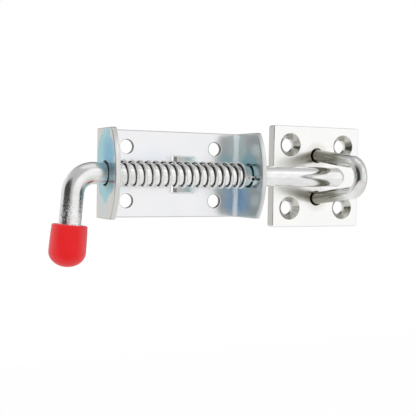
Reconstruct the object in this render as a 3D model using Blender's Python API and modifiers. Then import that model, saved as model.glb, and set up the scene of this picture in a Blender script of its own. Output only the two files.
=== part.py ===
"""Spring bolt for a gate or shed door, with its keeper plate and staple.

Metres, +Z up. The bolt slides along X and the keeper lies towards +X. The door is behind the
part, at Y = 0, so the backs of both plates lie in that plane and the part stands out towards -Y.
The origin is on the back of the bracket, midway between the two screw holes next to the keeper.
"""
import math

import bmesh
import bpy
from mathutils import Matrix, Vector

MM = 0.001

# Clearance between two pieces that touch on the real bolt
SEAT_GAP = 0.3 * MM

# Bracket: one strip of steel sheet, folded up at both ends
SHEET = 3.0 * MM
BRACKET_LENGTH = 92.0 * MM
BRACKET_HEIGHT = 50.0 * MM
BEND_INSIDE = 2.0 * MM
FLANGE_DEPTH_MIDDLE = 35.0 * MM
FLANGE_DEPTH_ENDS = 27.0 * MM
FLANGE_CORNER = 1.2 * MM
FLANGE_BORE_PLAY = 0.5 * MM
SCREW_HOLE = 8.2 * MM
SCREW_INSET = 18.0 * MM
SCREW_PITCH_ALONG = 56.0 * MM
SCREW_PITCH_ACROSS = 31.0 * MM

# Tongue: cut on three sides out of the middle of the bracket and bent up towards its free end
TONGUE_ROOT_FROM_SCREWS = 13.6 * MM
TONGUE_WIDTH = 21.0 * MM
TONGUE_RISE = 4.1 * MM
TONGUE_ANGLE = math.radians(22.0)
TONGUE_BEND = 14.0 * MM
TONGUE_SHEAR = 0.4 * MM
TONGUE_END_SLOT = 0.35 * MM

# Bolt: one round bar, bent down at its outer end
ROD_DIAMETER = 12.0 * MM
AXIS_FROM_DOOR = 18.0 * MM
NOSE_PAST_STAPLE = 11.2 * MM
NOSE_DEPTH = 5.4 * MM
NOSE_FLAT = 2.0 * MM
HANDLE_SETBACK = 6.6 * MM
HANDLE_BEND = 11.5 * MM
HANDLE_LEAN = math.radians(5.0)
HANDLE_LEG = 36.0 * MM
ROD_END_CHAMFER = 0.8 * MM

# Roll pin: a slotted steel tube through the bolt, which holds the spring
PIN_DIAMETER = 3.0 * MM
PIN_WALL = 0.6 * MM
PIN_SLOT = 0.7 * MM
PIN_LENGTH = 19.2 * MM
PIN_DROP = math.radians(12.0)

# Spring: right-hand wound, with a closed turn at each end
SPRING_WIRE = 1.5 * MM
SPRING_PLAY = 0.35 * MM
SPRING_TURNS = 18
CLOSED_TURN_GAP = 0.12 * MM

# Cap: moulded plastic, pushed over the end of the handle
CAP_COVER = 18.5 * MM
CAP_END_WALL = 4.0 * MM
CAP_DOME = 8.1 * MM
CAP_TOP_RADIUS = 9.6 * MM
CAP_SWELL = 0.45 * MM
CAP_RIM_ROUND = 0.9 * MM

# Keeper plate: a square of thicker steel with countersunk screw holes
KEEPER_GAP = 21.0 * MM
KEEPER_SIZE = 63.0 * MM
KEEPER_THICKNESS = 6.5 * MM
KEEPER_CORNER = 1.5 * MM
KEEPER_EDGE = 0.5 * MM
KEEPER_HOLE = 8.5 * MM
KEEPER_COUNTERSINK = 14.4 * MM
KEEPER_SINK_DEPTH = 3.6 * MM
KEEPER_PITCH = 39.2 * MM

# Staple: round bar bent to a loop, its ends set in the keeper plate
STAPLE_WIRE = 7.7 * MM
STAPLE_FOOT_PITCH = 26.9 * MM
STAPLE_LEAN = math.radians(6.6)
STAPLE_REACH = 56.8 * MM
STAPLE_HOLE_PLAY = 0.45 * MM
STAPLE_FOOT_INSET = 0.5 * MM

# How finely round things are divided
HOLE_SIDES = 32
BORE_SIDES = 40
ROD_SIDES = 32
STAPLE_SIDES = 24
WIRE_SIDES = 8
CAP_STEPS = 48
POINTS_PER_TURN = 16
BEND_STEPS = 6
FRONT_ARC_STEPS = 24
HANDLE_BEND_STEPS = 14
CROWN_STEPS = 24
NOSE_STEPS = 6
CAP_RIM_STEPS = 4
CAP_SIDE_STEPS = 7
CAP_DOME_STEPS = 9
KEEPER_CORNER_STEPS = 4
KEEPER_EDGE_STEPS = 3
CUT_MARGIN = 2.0 * MM
SAME_PLACE = 0.01 * MM
SMOOTH_ANGLE = math.radians(32.0)
EDGE_ANGLE = math.radians(60.0)

# Places worked out from the sizes above
X_LEFT = -(SCREW_INSET + SCREW_PITCH_ALONG)
X_RIGHT = X_LEFT + BRACKET_LENGTH
X_MIDDLE = (X_LEFT + X_RIGHT) / 2
TONGUE_ROOT_X = X_LEFT + SCREW_INSET + SCREW_PITCH_ALONG - TONGUE_ROOT_FROM_SCREWS
AXIS_Y = -AXIS_FROM_DOOR
ROD_RADIUS = ROD_DIAMETER / 2
BORE_RADIUS = ROD_RADIUS + FLANGE_BORE_PLAY
PIN_RADIUS = PIN_DIAMETER / 2
PIN_X = X_RIGHT - SHEET - SEAT_GAP - PIN_RADIUS
PIN_DIRECTION = Vector((0, -math.cos(PIN_DROP), -math.sin(PIN_DROP)))
SPRING_START = X_LEFT + SHEET + SEAT_GAP
SPRING_END = PIN_X - PIN_RADIUS - SEAT_GAP
SPRING_RADIUS = ROD_RADIUS + SPRING_PLAY + SPRING_WIRE / 2
KEEPER_LEFT = X_RIGHT + KEEPER_GAP
STAPLE_X = KEEPER_LEFT + KEEPER_SIZE / 2
NOSE_X = STAPLE_X + NOSE_PAST_STAPLE
HANDLE_BEND_X = X_LEFT - HANDLE_SETBACK
LEG_DIRECTION = Vector((-math.sin(HANDLE_LEAN), 0, -math.cos(HANDLE_LEAN)))
LEG_TURN = math.pi / 2 - HANDLE_LEAN
LEG_START = Vector((
    HANDLE_BEND_X - HANDLE_BEND * math.sin(LEG_TURN),
    AXIS_Y,
    -HANDLE_BEND * (1 - math.cos(LEG_TURN)),
))
LEG_END = LEG_START + LEG_DIRECTION * HANDLE_LEG


def clear_scene():
    """Empties the scene of what a new file starts with."""
    for thing in list(bpy.data.objects):
        bpy.data.objects.remove(thing, do_unlink=True)


def new_collection(name):
    collection = bpy.data.collections.new(name)
    bpy.context.scene.collection.children.link(collection)
    return collection


def new_material(name, colour, metallic, roughness):
    material = bpy.data.materials.new(name)
    material.use_nodes = True
    shader = material.node_tree.nodes["Principled BSDF"]
    shader.inputs["Base Color"].default_value = (*colour, 1.0)
    shader.inputs["Metallic"].default_value = metallic
    shader.inputs["Roughness"].default_value = roughness
    return material


def put(name, data, collection, material=None):
    """Adds an object with this data to a collection."""
    thing = bpy.data.objects.new(name, data)
    collection.objects.link(thing)
    if material is not None:
        data.materials.clear()
        data.materials.append(material)
    return thing


def make_cutter(thing):
    """Hides a shape that only cuts or joins another."""
    thing.hide_render = True
    thing.display_type = "WIRE"


def smooth(thing):
    thing.data.shade_smooth()
    thing.data.set_sharp_from_angle(angle=SMOOTH_ANGLE)


def curve_to_mesh(name, curve, matrix):
    """Turns a curve into a closed mesh, in the place that the matrix gives."""
    holder = bpy.data.objects.new(name + "_curve", curve)
    bpy.context.scene.collection.objects.link(holder)
    bpy.context.view_layer.update()
    evaluated = holder.evaluated_get(bpy.context.evaluated_depsgraph_get())
    mesh = bpy.data.meshes.new_from_object(evaluated)
    mesh.name = name
    bpy.data.objects.remove(holder, do_unlink=True)
    work = bmesh.new()
    work.from_mesh(mesh)
    bmesh.ops.remove_doubles(work, verts=work.verts, dist=SAME_PLACE)
    bmesh.ops.recalc_face_normals(work, faces=work.faces)
    work.transform(matrix)
    work.to_mesh(mesh)
    work.free()
    return mesh


def outline_mesh(name, points, thickness, matrix=Matrix.Identity(4)):
    """A flat outline in X and Y, given a thickness along Z about its own plane."""
    curve = bpy.data.curves.new(name, "CURVE")
    curve.dimensions = "2D"
    curve.fill_mode = "BOTH"
    curve.extrude = thickness / 2
    spline = curve.splines.new("POLY")
    spline.points.add(len(points) - 1)
    for point, (x, y) in zip(spline.points, points):
        point.co = (x, y, 0, 1)
    spline.use_cyclic_u = True
    return curve_to_mesh(name, curve, matrix)


def tube_mesh(name, route, radius, sides):
    """A round bar along a route of (place, share of the radius) pairs."""
    curve = bpy.data.curves.new(name, "CURVE")
    curve.dimensions = "3D"
    curve.bevel_depth = radius
    curve.bevel_resolution = (sides - 4) // 2
    curve.use_fill_caps = True
    curve.twist_mode = "MINIMUM"
    spline = curve.splines.new("POLY")
    spline.points.add(len(route) - 1)
    for point, (place, share) in zip(spline.points, route):
        point.co = (*place, 1)
        point.radius = share
    return curve_to_mesh(name, curve, Matrix.Identity(4))


def round_cutter(name, start, end, radius, sides, collection, end_radius=None):
    """A cylinder or cone between two places, for cutting."""
    along = end - start
    mesh = bpy.data.meshes.new(name)
    work = bmesh.new()
    bmesh.ops.create_cone(
        work,
        cap_ends=True,
        segments=sides,
        radius1=radius,
        radius2=radius if end_radius is None else end_radius,
        depth=along.length,
    )
    work.to_mesh(mesh)
    work.free()
    thing = put(name, mesh, collection)
    thing.location = (start + end) / 2
    thing.rotation_mode = "QUATERNION"
    thing.rotation_quaternion = Vector((0, 0, 1)).rotation_difference(along)
    make_cutter(thing)
    return thing


def boolean(thing, other, operation="DIFFERENCE"):
    modifier = thing.modifiers.new(other.name, "BOOLEAN")
    modifier.operation = operation
    modifier.solver = "EXACT"
    modifier.object = other


def arc(centre_x, centre_y, radius, start, end, steps):
    """Points on a round arc, from one angle to another."""
    points = []
    for step in range(steps + 1):
        angle = start + (end - start) * step / steps
        points.append((centre_x + radius * math.cos(angle), centre_y + radius * math.sin(angle)))
    return points


def sheet_section():
    """The folded sheet seen from above: its outer line, then back along its inner line."""
    outside = BEND_INSIDE + SHEET
    bend_y = -outside
    left_x = X_LEFT + outside
    right_x = X_RIGHT - outside
    front_y = -FLANGE_DEPTH_MIDDLE - CUT_MARGIN
    half, whole = math.pi / 2, math.pi
    outer = [(X_LEFT, front_y)]
    outer += arc(left_x, bend_y, outside, whole, half, BEND_STEPS)
    outer += arc(right_x, bend_y, outside, half, 0, BEND_STEPS)
    outer += [(X_RIGHT, front_y)]
    inner = [(X_RIGHT - SHEET, front_y)]
    inner += arc(right_x, bend_y, BEND_INSIDE, 0, half, BEND_STEPS)
    inner += arc(left_x, bend_y, BEND_INSIDE, half, whole, BEND_STEPS)
    inner += [(X_LEFT + SHEET, front_y)]
    return outer + inner


def cut_corner(before, corner, after, setback):
    """Five points that take a corner off an outline in a short curve."""
    start = corner + (before - corner).normalized() * setback
    end = corner + (after - corner).normalized() * setback
    points = []
    for share in (0.0, 0.25, 0.5, 0.75, 1.0):
        point = start * (1 - share) ** 2 + corner * 2 * share * (1 - share) + end * share ** 2
        points.append((point.x, point.y))
    return points


def flange_outline():
    """The end view of the bracket: straight at top, back and bottom, curved in front."""
    half_height = BRACKET_HEIGHT / 2
    crown = FLANGE_DEPTH_MIDDLE - FLANGE_DEPTH_ENDS
    radius = (half_height ** 2 + crown ** 2) / (2 * crown)
    centre_y = -FLANGE_DEPTH_MIDDLE + radius
    spread = math.asin(half_height / radius)
    front = arc(centre_y, 0, radius, math.pi - spread, math.pi + spread, FRONT_ARC_STEPS)
    top_back = Vector((CUT_MARGIN, half_height))
    bottom_back = Vector((CUT_MARGIN, -half_height))
    top = cut_corner(top_back, Vector(front[0]), Vector(front[1]), FLANGE_CORNER)
    bottom = cut_corner(Vector(front[-2]), Vector(front[-1]), bottom_back, FLANGE_CORNER)
    return [tuple(top_back)] + top + front[1:-1] + bottom + [tuple(bottom_back)]


def tongue_lengths():
    """How much of the flat tongue is bent, measured at mid sheet, and how much stays straight."""
    bent = (TONGUE_BEND + SHEET / 2) * TONGUE_ANGLE
    straight = (TONGUE_RISE - TONGUE_BEND * (1 - math.cos(TONGUE_ANGLE))) / math.sin(TONGUE_ANGLE)
    return bent, straight


def tongue_slot_outline():
    """The slot that frees the tongue on three sides, in X and Z."""
    tip_x = TONGUE_ROOT_X - sum(tongue_lengths())
    far_x = tip_x - TONGUE_END_SLOT
    inner = TONGUE_WIDTH / 2
    outer = inner + TONGUE_SHEAR
    return [
        (TONGUE_ROOT_X, outer), (far_x, outer), (far_x, -outer), (TONGUE_ROOT_X, -outer),
        (TONGUE_ROOT_X, -inner), (tip_x, -inner), (tip_x, inner), (TONGUE_ROOT_X, inner),
    ]


def bend_tongue(mesh):
    """Bends the freed tongue up, towards -Y, about a line across its root."""
    bent, straight = tongue_lengths()
    work = bmesh.new()
    work.from_mesh(mesh)
    bmesh.ops.triangulate(work, faces=work.faces)
    for step in range(BEND_STEPS + 1):
        bmesh.ops.bisect_plane(
            work,
            geom=list(work.verts) + list(work.edges) + list(work.faces),
            plane_co=(TONGUE_ROOT_X - bent * step / BEND_STEPS, 0, 0),
            plane_no=(1, 0, 0),
            dist=SAME_PLACE / 10,
        )
    for vert in work.verts:
        x, y, z = vert.co
        along = TONGUE_ROOT_X - x
        free = 0 < along < bent + straight + TONGUE_END_SLOT / 2
        if not free or abs(z) > (TONGUE_WIDTH + TONGUE_SHEAR) / 2:
            continue
        turn = TONGUE_ANGLE * min(along / bent, 1)
        radius = TONGUE_BEND + SHEET + y
        beyond = max(along - bent, 0)
        vert.co.x = TONGUE_ROOT_X - radius * math.sin(turn) - beyond * math.cos(turn)
        vert.co.y = -SHEET - TONGUE_BEND + radius * math.cos(turn) - beyond * math.sin(turn)
    work.to_mesh(mesh)
    work.free()


def build_bracket(parts, cutters, steel):
    mesh = outline_mesh("bracket", sheet_section(), BRACKET_HEIGHT + 2 * CUT_MARGIN)
    bracket = put("bracket", mesh, parts, steel)

    end_view = Matrix(((0, 0, 1, X_MIDDLE), (1, 0, 0, 0), (0, 1, 0, 0), (0, 0, 0, 1)))
    blank = put(
        "bracket_blank",
        outline_mesh("bracket_blank", flange_outline(), BRACKET_LENGTH + 2 * CUT_MARGIN, end_view),
        cutters,
    )
    make_cutter(blank)
    boolean(bracket, blank, "INTERSECT")

    bore = round_cutter(
        "bolt_bore",
        Vector((X_LEFT - CUT_MARGIN, AXIS_Y, 0)),
        Vector((X_RIGHT + CUT_MARGIN, AXIS_Y, 0)),
        BORE_RADIUS,
        BORE_SIDES,
        cutters,
    )
    boolean(bracket, bore)

    for along in (X_LEFT + SCREW_INSET, X_LEFT + SCREW_INSET + SCREW_PITCH_ALONG):
        for across in (-SCREW_PITCH_ACROSS / 2, SCREW_PITCH_ACROSS / 2):
            hole = round_cutter(
                "bracket_screw_hole",
                Vector((along, CUT_MARGIN, across)),
                Vector((along, -SHEET - CUT_MARGIN, across)),
                SCREW_HOLE / 2,
                HOLE_SIDES,
                cutters,
            )
            boolean(bracket, hole)

    front_view = Matrix(((1, 0, 0, 0), (0, 0, -1, 0), (0, 1, 0, 0), (0, 0, 0, 1)))
    slot_mesh = outline_mesh("tongue_slot", tongue_slot_outline(), 2 * SHEET + 2 * CUT_MARGIN, front_view)
    slot = put("tongue_slot", slot_mesh, cutters)
    make_cutter(slot)
    boolean(bracket, slot)

    bpy.context.view_layer.update()
    evaluated = bracket.evaluated_get(bpy.context.evaluated_depsgraph_get())
    folded = bpy.data.meshes.new_from_object(evaluated)
    folded.name = "bracket"
    bracket.modifiers.clear()
    bracket.data = folded
    bend_tongue(folded)
    smooth(bracket)
    return bracket


def nose_route():
    """The rounded nose, as places along the bolt and shares of its radius."""
    flat = NOSE_FLAT / ROD_RADIUS
    start = math.asin(flat)
    route = []
    for step in range(NOSE_STEPS + 1):
        angle = start + (math.pi / 2 - start) * step / NOSE_STEPS
        fall = (1 - math.cos(angle)) - (1 - math.cos(start))
        place = NOSE_X - NOSE_DEPTH * fall / math.cos(start)
        route.append((Vector((place, AXIS_Y, 0)), math.sin(angle)))
    return route


def rod_route():
    """The bolt's centre line, from its nose to the end of the handle."""
    route = nose_route()
    route.append((Vector((X_MIDDLE, AXIS_Y, 0)), 1.0))
    for step in range(HANDLE_BEND_STEPS + 1):
        turn = LEG_TURN * step / HANDLE_BEND_STEPS
        x = HANDLE_BEND_X - HANDLE_BEND * math.sin(turn)
        z = -HANDLE_BEND * (1 - math.cos(turn))
        route.append((Vector((x, AXIS_Y, z)), 1.0))
    route.append((LEG_END - LEG_DIRECTION * ROD_END_CHAMFER, 1.0))
    route.append((LEG_END, 1.0 - ROD_END_CHAMFER / ROD_RADIUS))
    return route


def build_rod(parts, cutters, steel):
    rod = put("bolt_rod", tube_mesh("bolt_rod", rod_route(), ROD_RADIUS, ROD_SIDES), parts, steel)
    centre = Vector((PIN_X, AXIS_Y, 0))
    reach = PIN_DIRECTION * (ROD_RADIUS + CUT_MARGIN)
    pin_hole = round_cutter(
        "pin_hole", centre - reach, centre + reach, PIN_RADIUS + SEAT_GAP, HOLE_SIDES, cutters
    )
    boolean(rod, pin_hole)
    smooth(rod)
    return rod


def build_pin(parts, steel):
    """A tube with a slot along its whole length."""
    inner = PIN_RADIUS - PIN_WALL
    outer_open = math.asin(PIN_SLOT / 2 / PIN_RADIUS)
    inner_open = math.asin(PIN_SLOT / 2 / inner)
    steps = HOLE_SIDES - BEND_STEPS
    section = arc(0, 0, PIN_RADIUS, outer_open, 2 * math.pi - outer_open, steps)
    section += arc(0, 0, inner, 2 * math.pi - inner_open, inner_open, steps)
    pin = put("roll_pin", outline_mesh("roll_pin", section, PIN_LENGTH), parts, steel)
    pin.location = (PIN_X, AXIS_Y, 0)
    pin.rotation_mode = "QUATERNION"
    pin.rotation_quaternion = Vector((0, 0, 1)).rotation_difference(PIN_DIRECTION)
    smooth(pin)
    return pin


def spring_route():
    """A right-hand coil whose first and last turns are closed and whose others are even."""
    first = SPRING_START + SPRING_WIRE / 2
    last = SPRING_END - SPRING_WIRE / 2
    closed = SPRING_WIRE + CLOSED_TURN_GAP
    open_pitch = (last - first - 2 * closed) / (SPRING_TURNS - 2)
    route = []
    for step in range(SPRING_TURNS * POINTS_PER_TURN + 1):
        turn = step / POINTS_PER_TURN
        if turn <= 1:
            x = first + closed * turn
        elif turn <= SPRING_TURNS - 1:
            x = first + closed + open_pitch * (turn - 1)
        else:
            x = last - closed * (SPRING_TURNS - turn)
        angle = 2 * math.pi * turn
        y = AXIS_Y - SPRING_RADIUS * math.sin(angle)
        z = SPRING_RADIUS * math.cos(angle)
        route.append((Vector((x, y, z)), 1.0))
    return route


def build_spring(parts, steel):
    mesh = tube_mesh("spring", spring_route(), SPRING_WIRE / 2, WIRE_SIDES)
    spring = put("spring", mesh, parts, steel)
    smooth(spring)
    return spring


def cap_profile():
    """Half of the cap's section: up the bore, over the rim, down the side, round the dome."""
    bore = ROD_RADIUS + SEAT_GAP
    floor = -SEAT_GAP
    tip = floor - CAP_END_WALL
    dome_top = tip + CAP_DOME
    side_top = CAP_COVER - CAP_RIM_ROUND
    side_radius = CAP_TOP_RADIUS + CAP_SWELL
    profile = [(0, floor), (bore, floor), (bore, CAP_COVER)]
    profile += arc(CAP_TOP_RADIUS - CAP_RIM_ROUND, side_top, CAP_RIM_ROUND, math.pi / 2, 0, CAP_RIM_STEPS)
    for step in range(1, CAP_SIDE_STEPS + 1):
        share = step / CAP_SIDE_STEPS
        swell = CAP_SWELL * math.sin(math.pi / 2 * share)
        profile.append((CAP_TOP_RADIUS + swell, side_top + (dome_top - side_top) * share))
    for step in range(1, CAP_DOME_STEPS):
        angle = math.pi / 2 * step / CAP_DOME_STEPS
        profile.append((side_radius * math.cos(angle), dome_top - CAP_DOME * math.sin(angle)))
    profile.append((0, tip))
    return profile


def build_cap(parts, plastic):
    points = cap_profile()
    mesh = bpy.data.meshes.new("handle_cap")
    edges = [(index, index + 1) for index in range(len(points) - 1)]
    mesh.from_pydata([(x, 0, z) for x, z in points], edges, [])
    cap = put("handle_cap", mesh, parts, plastic)
    turning = cap.modifiers.new("turning", "SCREW")
    turning.steps = CAP_STEPS
    turning.render_steps = CAP_STEPS
    turning.use_merge_vertices = True
    turning.merge_threshold = SAME_PLACE
    cap.location = LEG_END
    cap.rotation_euler = (0, HANDLE_LEAN, 0)
    return cap


def build_keeper(parts, cutters, steel):
    mesh = bpy.data.meshes.new("keeper_plate")
    work = bmesh.new()
    bmesh.ops.create_cube(work, size=1)
    bmesh.ops.scale(work, verts=work.verts, vec=(KEEPER_SIZE, KEEPER_THICKNESS, KEEPER_SIZE))
    through = [edge for edge in work.edges if edge.verts[0].co.y * edge.verts[1].co.y < 0]
    bmesh.ops.bevel(
        work, geom=through, offset=KEEPER_CORNER, segments=KEEPER_CORNER_STEPS, profile=0.5, affect="EDGES"
    )
    front = [
        edge for edge in work.edges
        if all(vert.co.y < 0 for vert in edge.verts) and len(edge.link_faces) == 2
        and edge.calc_face_angle() > EDGE_ANGLE
    ]
    bmesh.ops.bevel(
        work, geom=front, offset=KEEPER_EDGE, segments=KEEPER_EDGE_STEPS, profile=0.5, affect="EDGES"
    )
    work.to_mesh(mesh)
    work.free()
    keeper = put("keeper_plate", mesh, parts, steel)
    keeper.location = (STAPLE_X, -KEEPER_THICKNESS / 2, 0)

    for side in (-1, 1):
        for up in (-1, 1):
            x = STAPLE_X + side * KEEPER_PITCH / 2
            z = up * KEEPER_PITCH / 2
            hole = round_cutter(
                "keeper_screw_hole",
                Vector((x, CUT_MARGIN, z)),
                Vector((x, -KEEPER_THICKNESS - CUT_MARGIN, z)),
                KEEPER_HOLE / 2,
                HOLE_SIDES,
                cutters,
            )
            boolean(keeper, hole)
            flare = (KEEPER_COUNTERSINK - KEEPER_HOLE) / 2 / KEEPER_SINK_DEPTH
            sink = round_cutter(
                "keeper_countersink",
                Vector((x, -KEEPER_THICKNESS + KEEPER_SINK_DEPTH, z)),
                Vector((x, -KEEPER_THICKNESS - CUT_MARGIN, z)),
                KEEPER_HOLE / 2,
                HOLE_SIDES,
                cutters,
                KEEPER_COUNTERSINK / 2 + flare * CUT_MARGIN,
            )
            boolean(keeper, sink)

    for up in (-1, 1):
        foot, direction = staple_foot(up)
        hole = round_cutter(
            "staple_hole",
            foot + direction * (KEEPER_THICKNESS + CUT_MARGIN),
            foot - direction * (KEEPER_THICKNESS + CUT_MARGIN),
            STAPLE_WIRE / 2 + STAPLE_HOLE_PLAY,
            HOLE_SIDES,
            cutters,
        )
        boolean(keeper, hole)
    smooth(keeper)
    return keeper


def staple_foot(up):
    """Where a leg of the staple leaves the plate's front, and the way it goes from there."""
    foot = Vector((STAPLE_X, -KEEPER_THICKNESS, up * STAPLE_FOOT_PITCH / 2))
    direction = Vector((0, -math.cos(STAPLE_LEAN), -up * math.sin(STAPLE_LEAN)))
    return foot, direction


def staple_route():
    """Up one leg, round the crown and down the other. The legs lean in and touch the crown's arc."""
    half_pitch = STAPLE_FOOT_PITCH / 2
    depth = STAPLE_REACH - KEEPER_THICKNESS - STAPLE_WIRE / 2
    crown_depth = (depth - half_pitch * math.cos(STAPLE_LEAN)) / (1 - math.sin(STAPLE_LEAN))
    radius = depth - crown_depth
    centre_y = -KEEPER_THICKNESS - crown_depth
    route = []
    foot, direction = staple_foot(1)
    inside = (KEEPER_THICKNESS - STAPLE_FOOT_INSET) / math.cos(STAPLE_LEAN)
    route.append(foot - direction * inside)
    route.append(foot)
    for step in range(CROWN_STEPS + 1):
        angle = STAPLE_LEAN + (math.pi - 2 * STAPLE_LEAN) * step / CROWN_STEPS
        route.append(Vector((STAPLE_X, centre_y - radius * math.sin(angle), radius * math.cos(angle))))
    foot, direction = staple_foot(-1)
    route.append(foot)
    route.append(foot - direction * inside)
    return [(place, 1.0) for place in route]


def build_staple(parts, steel):
    mesh = tube_mesh("keeper_staple", staple_route(), STAPLE_WIRE / 2, STAPLE_SIDES)
    staple = put("keeper_staple", mesh, parts, steel)
    smooth(staple)
    return staple


def carry(piece, holder):
    """Parents a piece to its holder and leaves it where it is."""
    bpy.context.view_layer.update()
    piece.parent = holder
    piece.matrix_parent_inverse = holder.matrix_world.inverted()


def build():
    clear_scene()
    parts = new_collection("spring_bolt")
    cutters = new_collection("cutters")
    bright = new_material("bright_zinc", (0.80, 0.81, 0.83), 1.0, 0.22)
    plate = new_material("keeper_zinc", (0.84, 0.84, 0.83), 1.0, 0.34)
    bar = new_material("bar_zinc", (0.72, 0.72, 0.71), 1.0, 0.26)
    staple_steel = new_material("staple_zinc", (0.60, 0.60, 0.57), 1.0, 0.24)
    wire = new_material("spring_wire", (0.70, 0.71, 0.71), 1.0, 0.25)
    red = new_material("red_plastic", (0.76, 0.03, 0.03), 0.0, 0.38)

    build_bracket(parts, cutters, bright)
    spring = build_spring(parts, wire)
    rod = build_rod(parts, cutters, bar)
    pin = build_pin(parts, wire)
    cap = build_cap(parts, red)
    build_keeper(parts, cutters, plate)
    build_staple(parts, staple_steel)

    axis = bpy.data.objects.new("bolt_axis", None)
    parts.objects.link(axis)
    axis.location = (PIN_X, AXIS_Y, 0)
    for piece in (spring, rod, pin, cap):
        carry(piece, axis)


build()
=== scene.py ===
"""A zinc-plated spring bolt with its keeper plate and staple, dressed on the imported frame.

Metres, +Z up. The bolt slides along X, the door is behind the part at Y = 0, and the part
stands out towards -Y. Each operator makes one piece or group of like pieces.
"""
import math
from functools import partial

import bmesh
import bpy
from bpy.props import FloatProperty, FloatVectorProperty, IntProperty, PointerProperty
from mathutils import Matrix, Vector


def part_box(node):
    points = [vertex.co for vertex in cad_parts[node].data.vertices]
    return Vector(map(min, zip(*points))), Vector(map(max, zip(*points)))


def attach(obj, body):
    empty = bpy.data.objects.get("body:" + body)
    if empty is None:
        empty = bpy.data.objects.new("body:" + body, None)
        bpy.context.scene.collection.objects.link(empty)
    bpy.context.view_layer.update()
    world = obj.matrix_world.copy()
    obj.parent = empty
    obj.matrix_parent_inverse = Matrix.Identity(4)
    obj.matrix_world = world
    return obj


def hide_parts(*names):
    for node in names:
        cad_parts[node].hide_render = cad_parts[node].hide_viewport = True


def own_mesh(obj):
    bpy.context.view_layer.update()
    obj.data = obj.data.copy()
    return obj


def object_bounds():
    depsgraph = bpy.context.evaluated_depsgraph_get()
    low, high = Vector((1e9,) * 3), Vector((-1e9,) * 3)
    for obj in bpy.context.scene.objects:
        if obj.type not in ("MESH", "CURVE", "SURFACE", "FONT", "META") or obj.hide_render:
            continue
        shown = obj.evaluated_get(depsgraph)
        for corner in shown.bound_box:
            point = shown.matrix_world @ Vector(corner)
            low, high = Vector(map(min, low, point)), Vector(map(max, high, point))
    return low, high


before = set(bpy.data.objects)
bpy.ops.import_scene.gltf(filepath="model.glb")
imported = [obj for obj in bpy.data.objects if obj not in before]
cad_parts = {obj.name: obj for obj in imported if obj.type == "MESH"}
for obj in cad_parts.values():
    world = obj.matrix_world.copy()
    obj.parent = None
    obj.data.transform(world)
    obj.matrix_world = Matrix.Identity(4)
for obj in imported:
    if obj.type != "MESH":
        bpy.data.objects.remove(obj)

bl_info = {
    "name": "Spring Bolt",
    "version": (1, 0, 0),
    "blender": (4, 5, 0),
    "location": "View3D > Sidebar > Spring Bolt",
    "description": "Builds a zinc-plated spring bolt with its keeper",
    "category": "Add Mesh",
}

MM = 0.001
MESH_SHARP = math.radians(38)
# Places nearer to each other than this are one place
TOUCHING = 1e-7
FINE_EDGE = 0.12 * MM
CORNER_STEPS = 5
HOLE_SIDES = 64

# The frame's own places
CAD_LOW, CAD_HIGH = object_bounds()
BRACKET_LOW, BRACKET_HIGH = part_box("bracket")
ROD_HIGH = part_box("bolt_rod")[1]
KEEPER_LOW, KEEPER_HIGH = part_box("keeper_plate")
SPRING_LOW, SPRING_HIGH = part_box("spring")
STAPLE_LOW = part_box("keeper_staple")[0]

X_LEFT, X_RIGHT = BRACKET_LOW.x, BRACKET_HIGH.x
HALF_HEIGHT = BRACKET_HIGH.z
AXIS_Y = -18.0 * MM
KEEPER_X = (KEEPER_LOW.x + KEEPER_HIGH.x) / 2
KEEPER_HALF = (KEEPER_HIGH.x - KEEPER_LOW.x) / 2
KEEPER_FRONT = KEEPER_LOW.y


# ---- property groups


class BracketSizes(bpy.types.PropertyGroup):
    """Sizes of the folded bracket."""
    sheet: FloatProperty(
        name="Sheet", description="Thickness of the steel sheet", default=3.0 * MM, unit="LENGTH"
    )
    bend_inside: FloatProperty(
        name="Bend", description="Inside radius of the two folds", default=2.0 * MM, unit="LENGTH"
    )
    flange_ends: FloatProperty(
        name="Flange Ends", description="How far the folded ends stand out at top and bottom",
        default=27.0 * MM, unit="LENGTH"
    )
    screw_hole: FloatProperty(
        name="Screw Holes", description="Diameter of the plain holes", default=8.2 * MM, unit="LENGTH"
    )
    bore: FloatProperty(
        name="Bore", description="Diameter of the bores for the bolt", default=13.0 * MM, unit="LENGTH"
    )
    edge: FloatProperty(
        name="Edge", description="Rounding of the sheared edges", default=0.28 * MM, unit="LENGTH"
    )


class BoltSizes(bpy.types.PropertyGroup):
    """Sizes of the sliding bolt, its pin and its spring."""
    rod: FloatProperty(
        name="Bar", description="Diameter of the round bar", default=12.0 * MM, unit="LENGTH"
    )
    nose: FloatProperty(
        name="Nose", description="Length of the rounded nose", default=5.4 * MM, unit="LENGTH"
    )
    pin: FloatProperty(
        name="Pin", description="Diameter of the roll pin", default=3.0 * MM, unit="LENGTH"
    )
    pin_length: FloatProperty(
        name="Pin Length", description="Length of the roll pin", default=19.2 * MM, unit="LENGTH"
    )
    wire: FloatProperty(
        name="Wire", description="Diameter of the spring's wire", default=1.5 * MM, unit="LENGTH"
    )
    turns: IntProperty(name="Turns", description="Turns of the spring", default=18, min=4)


class KeeperSizes(bpy.types.PropertyGroup):
    """Sizes of the keeper plate and its staple."""
    hole: FloatProperty(
        name="Holes", description="Diameter of the screw holes", default=8.5 * MM, unit="LENGTH"
    )
    countersink: FloatProperty(
        name="Countersink", description="Diameter of the countersinks", default=14.4 * MM, unit="LENGTH"
    )
    pitch: FloatProperty(
        name="Pitch", description="Distance between the screw holes", default=39.2 * MM, unit="LENGTH"
    )
    staple: FloatProperty(
        name="Staple", description="Diameter of the staple's bar", default=7.7 * MM, unit="LENGTH"
    )


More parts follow.
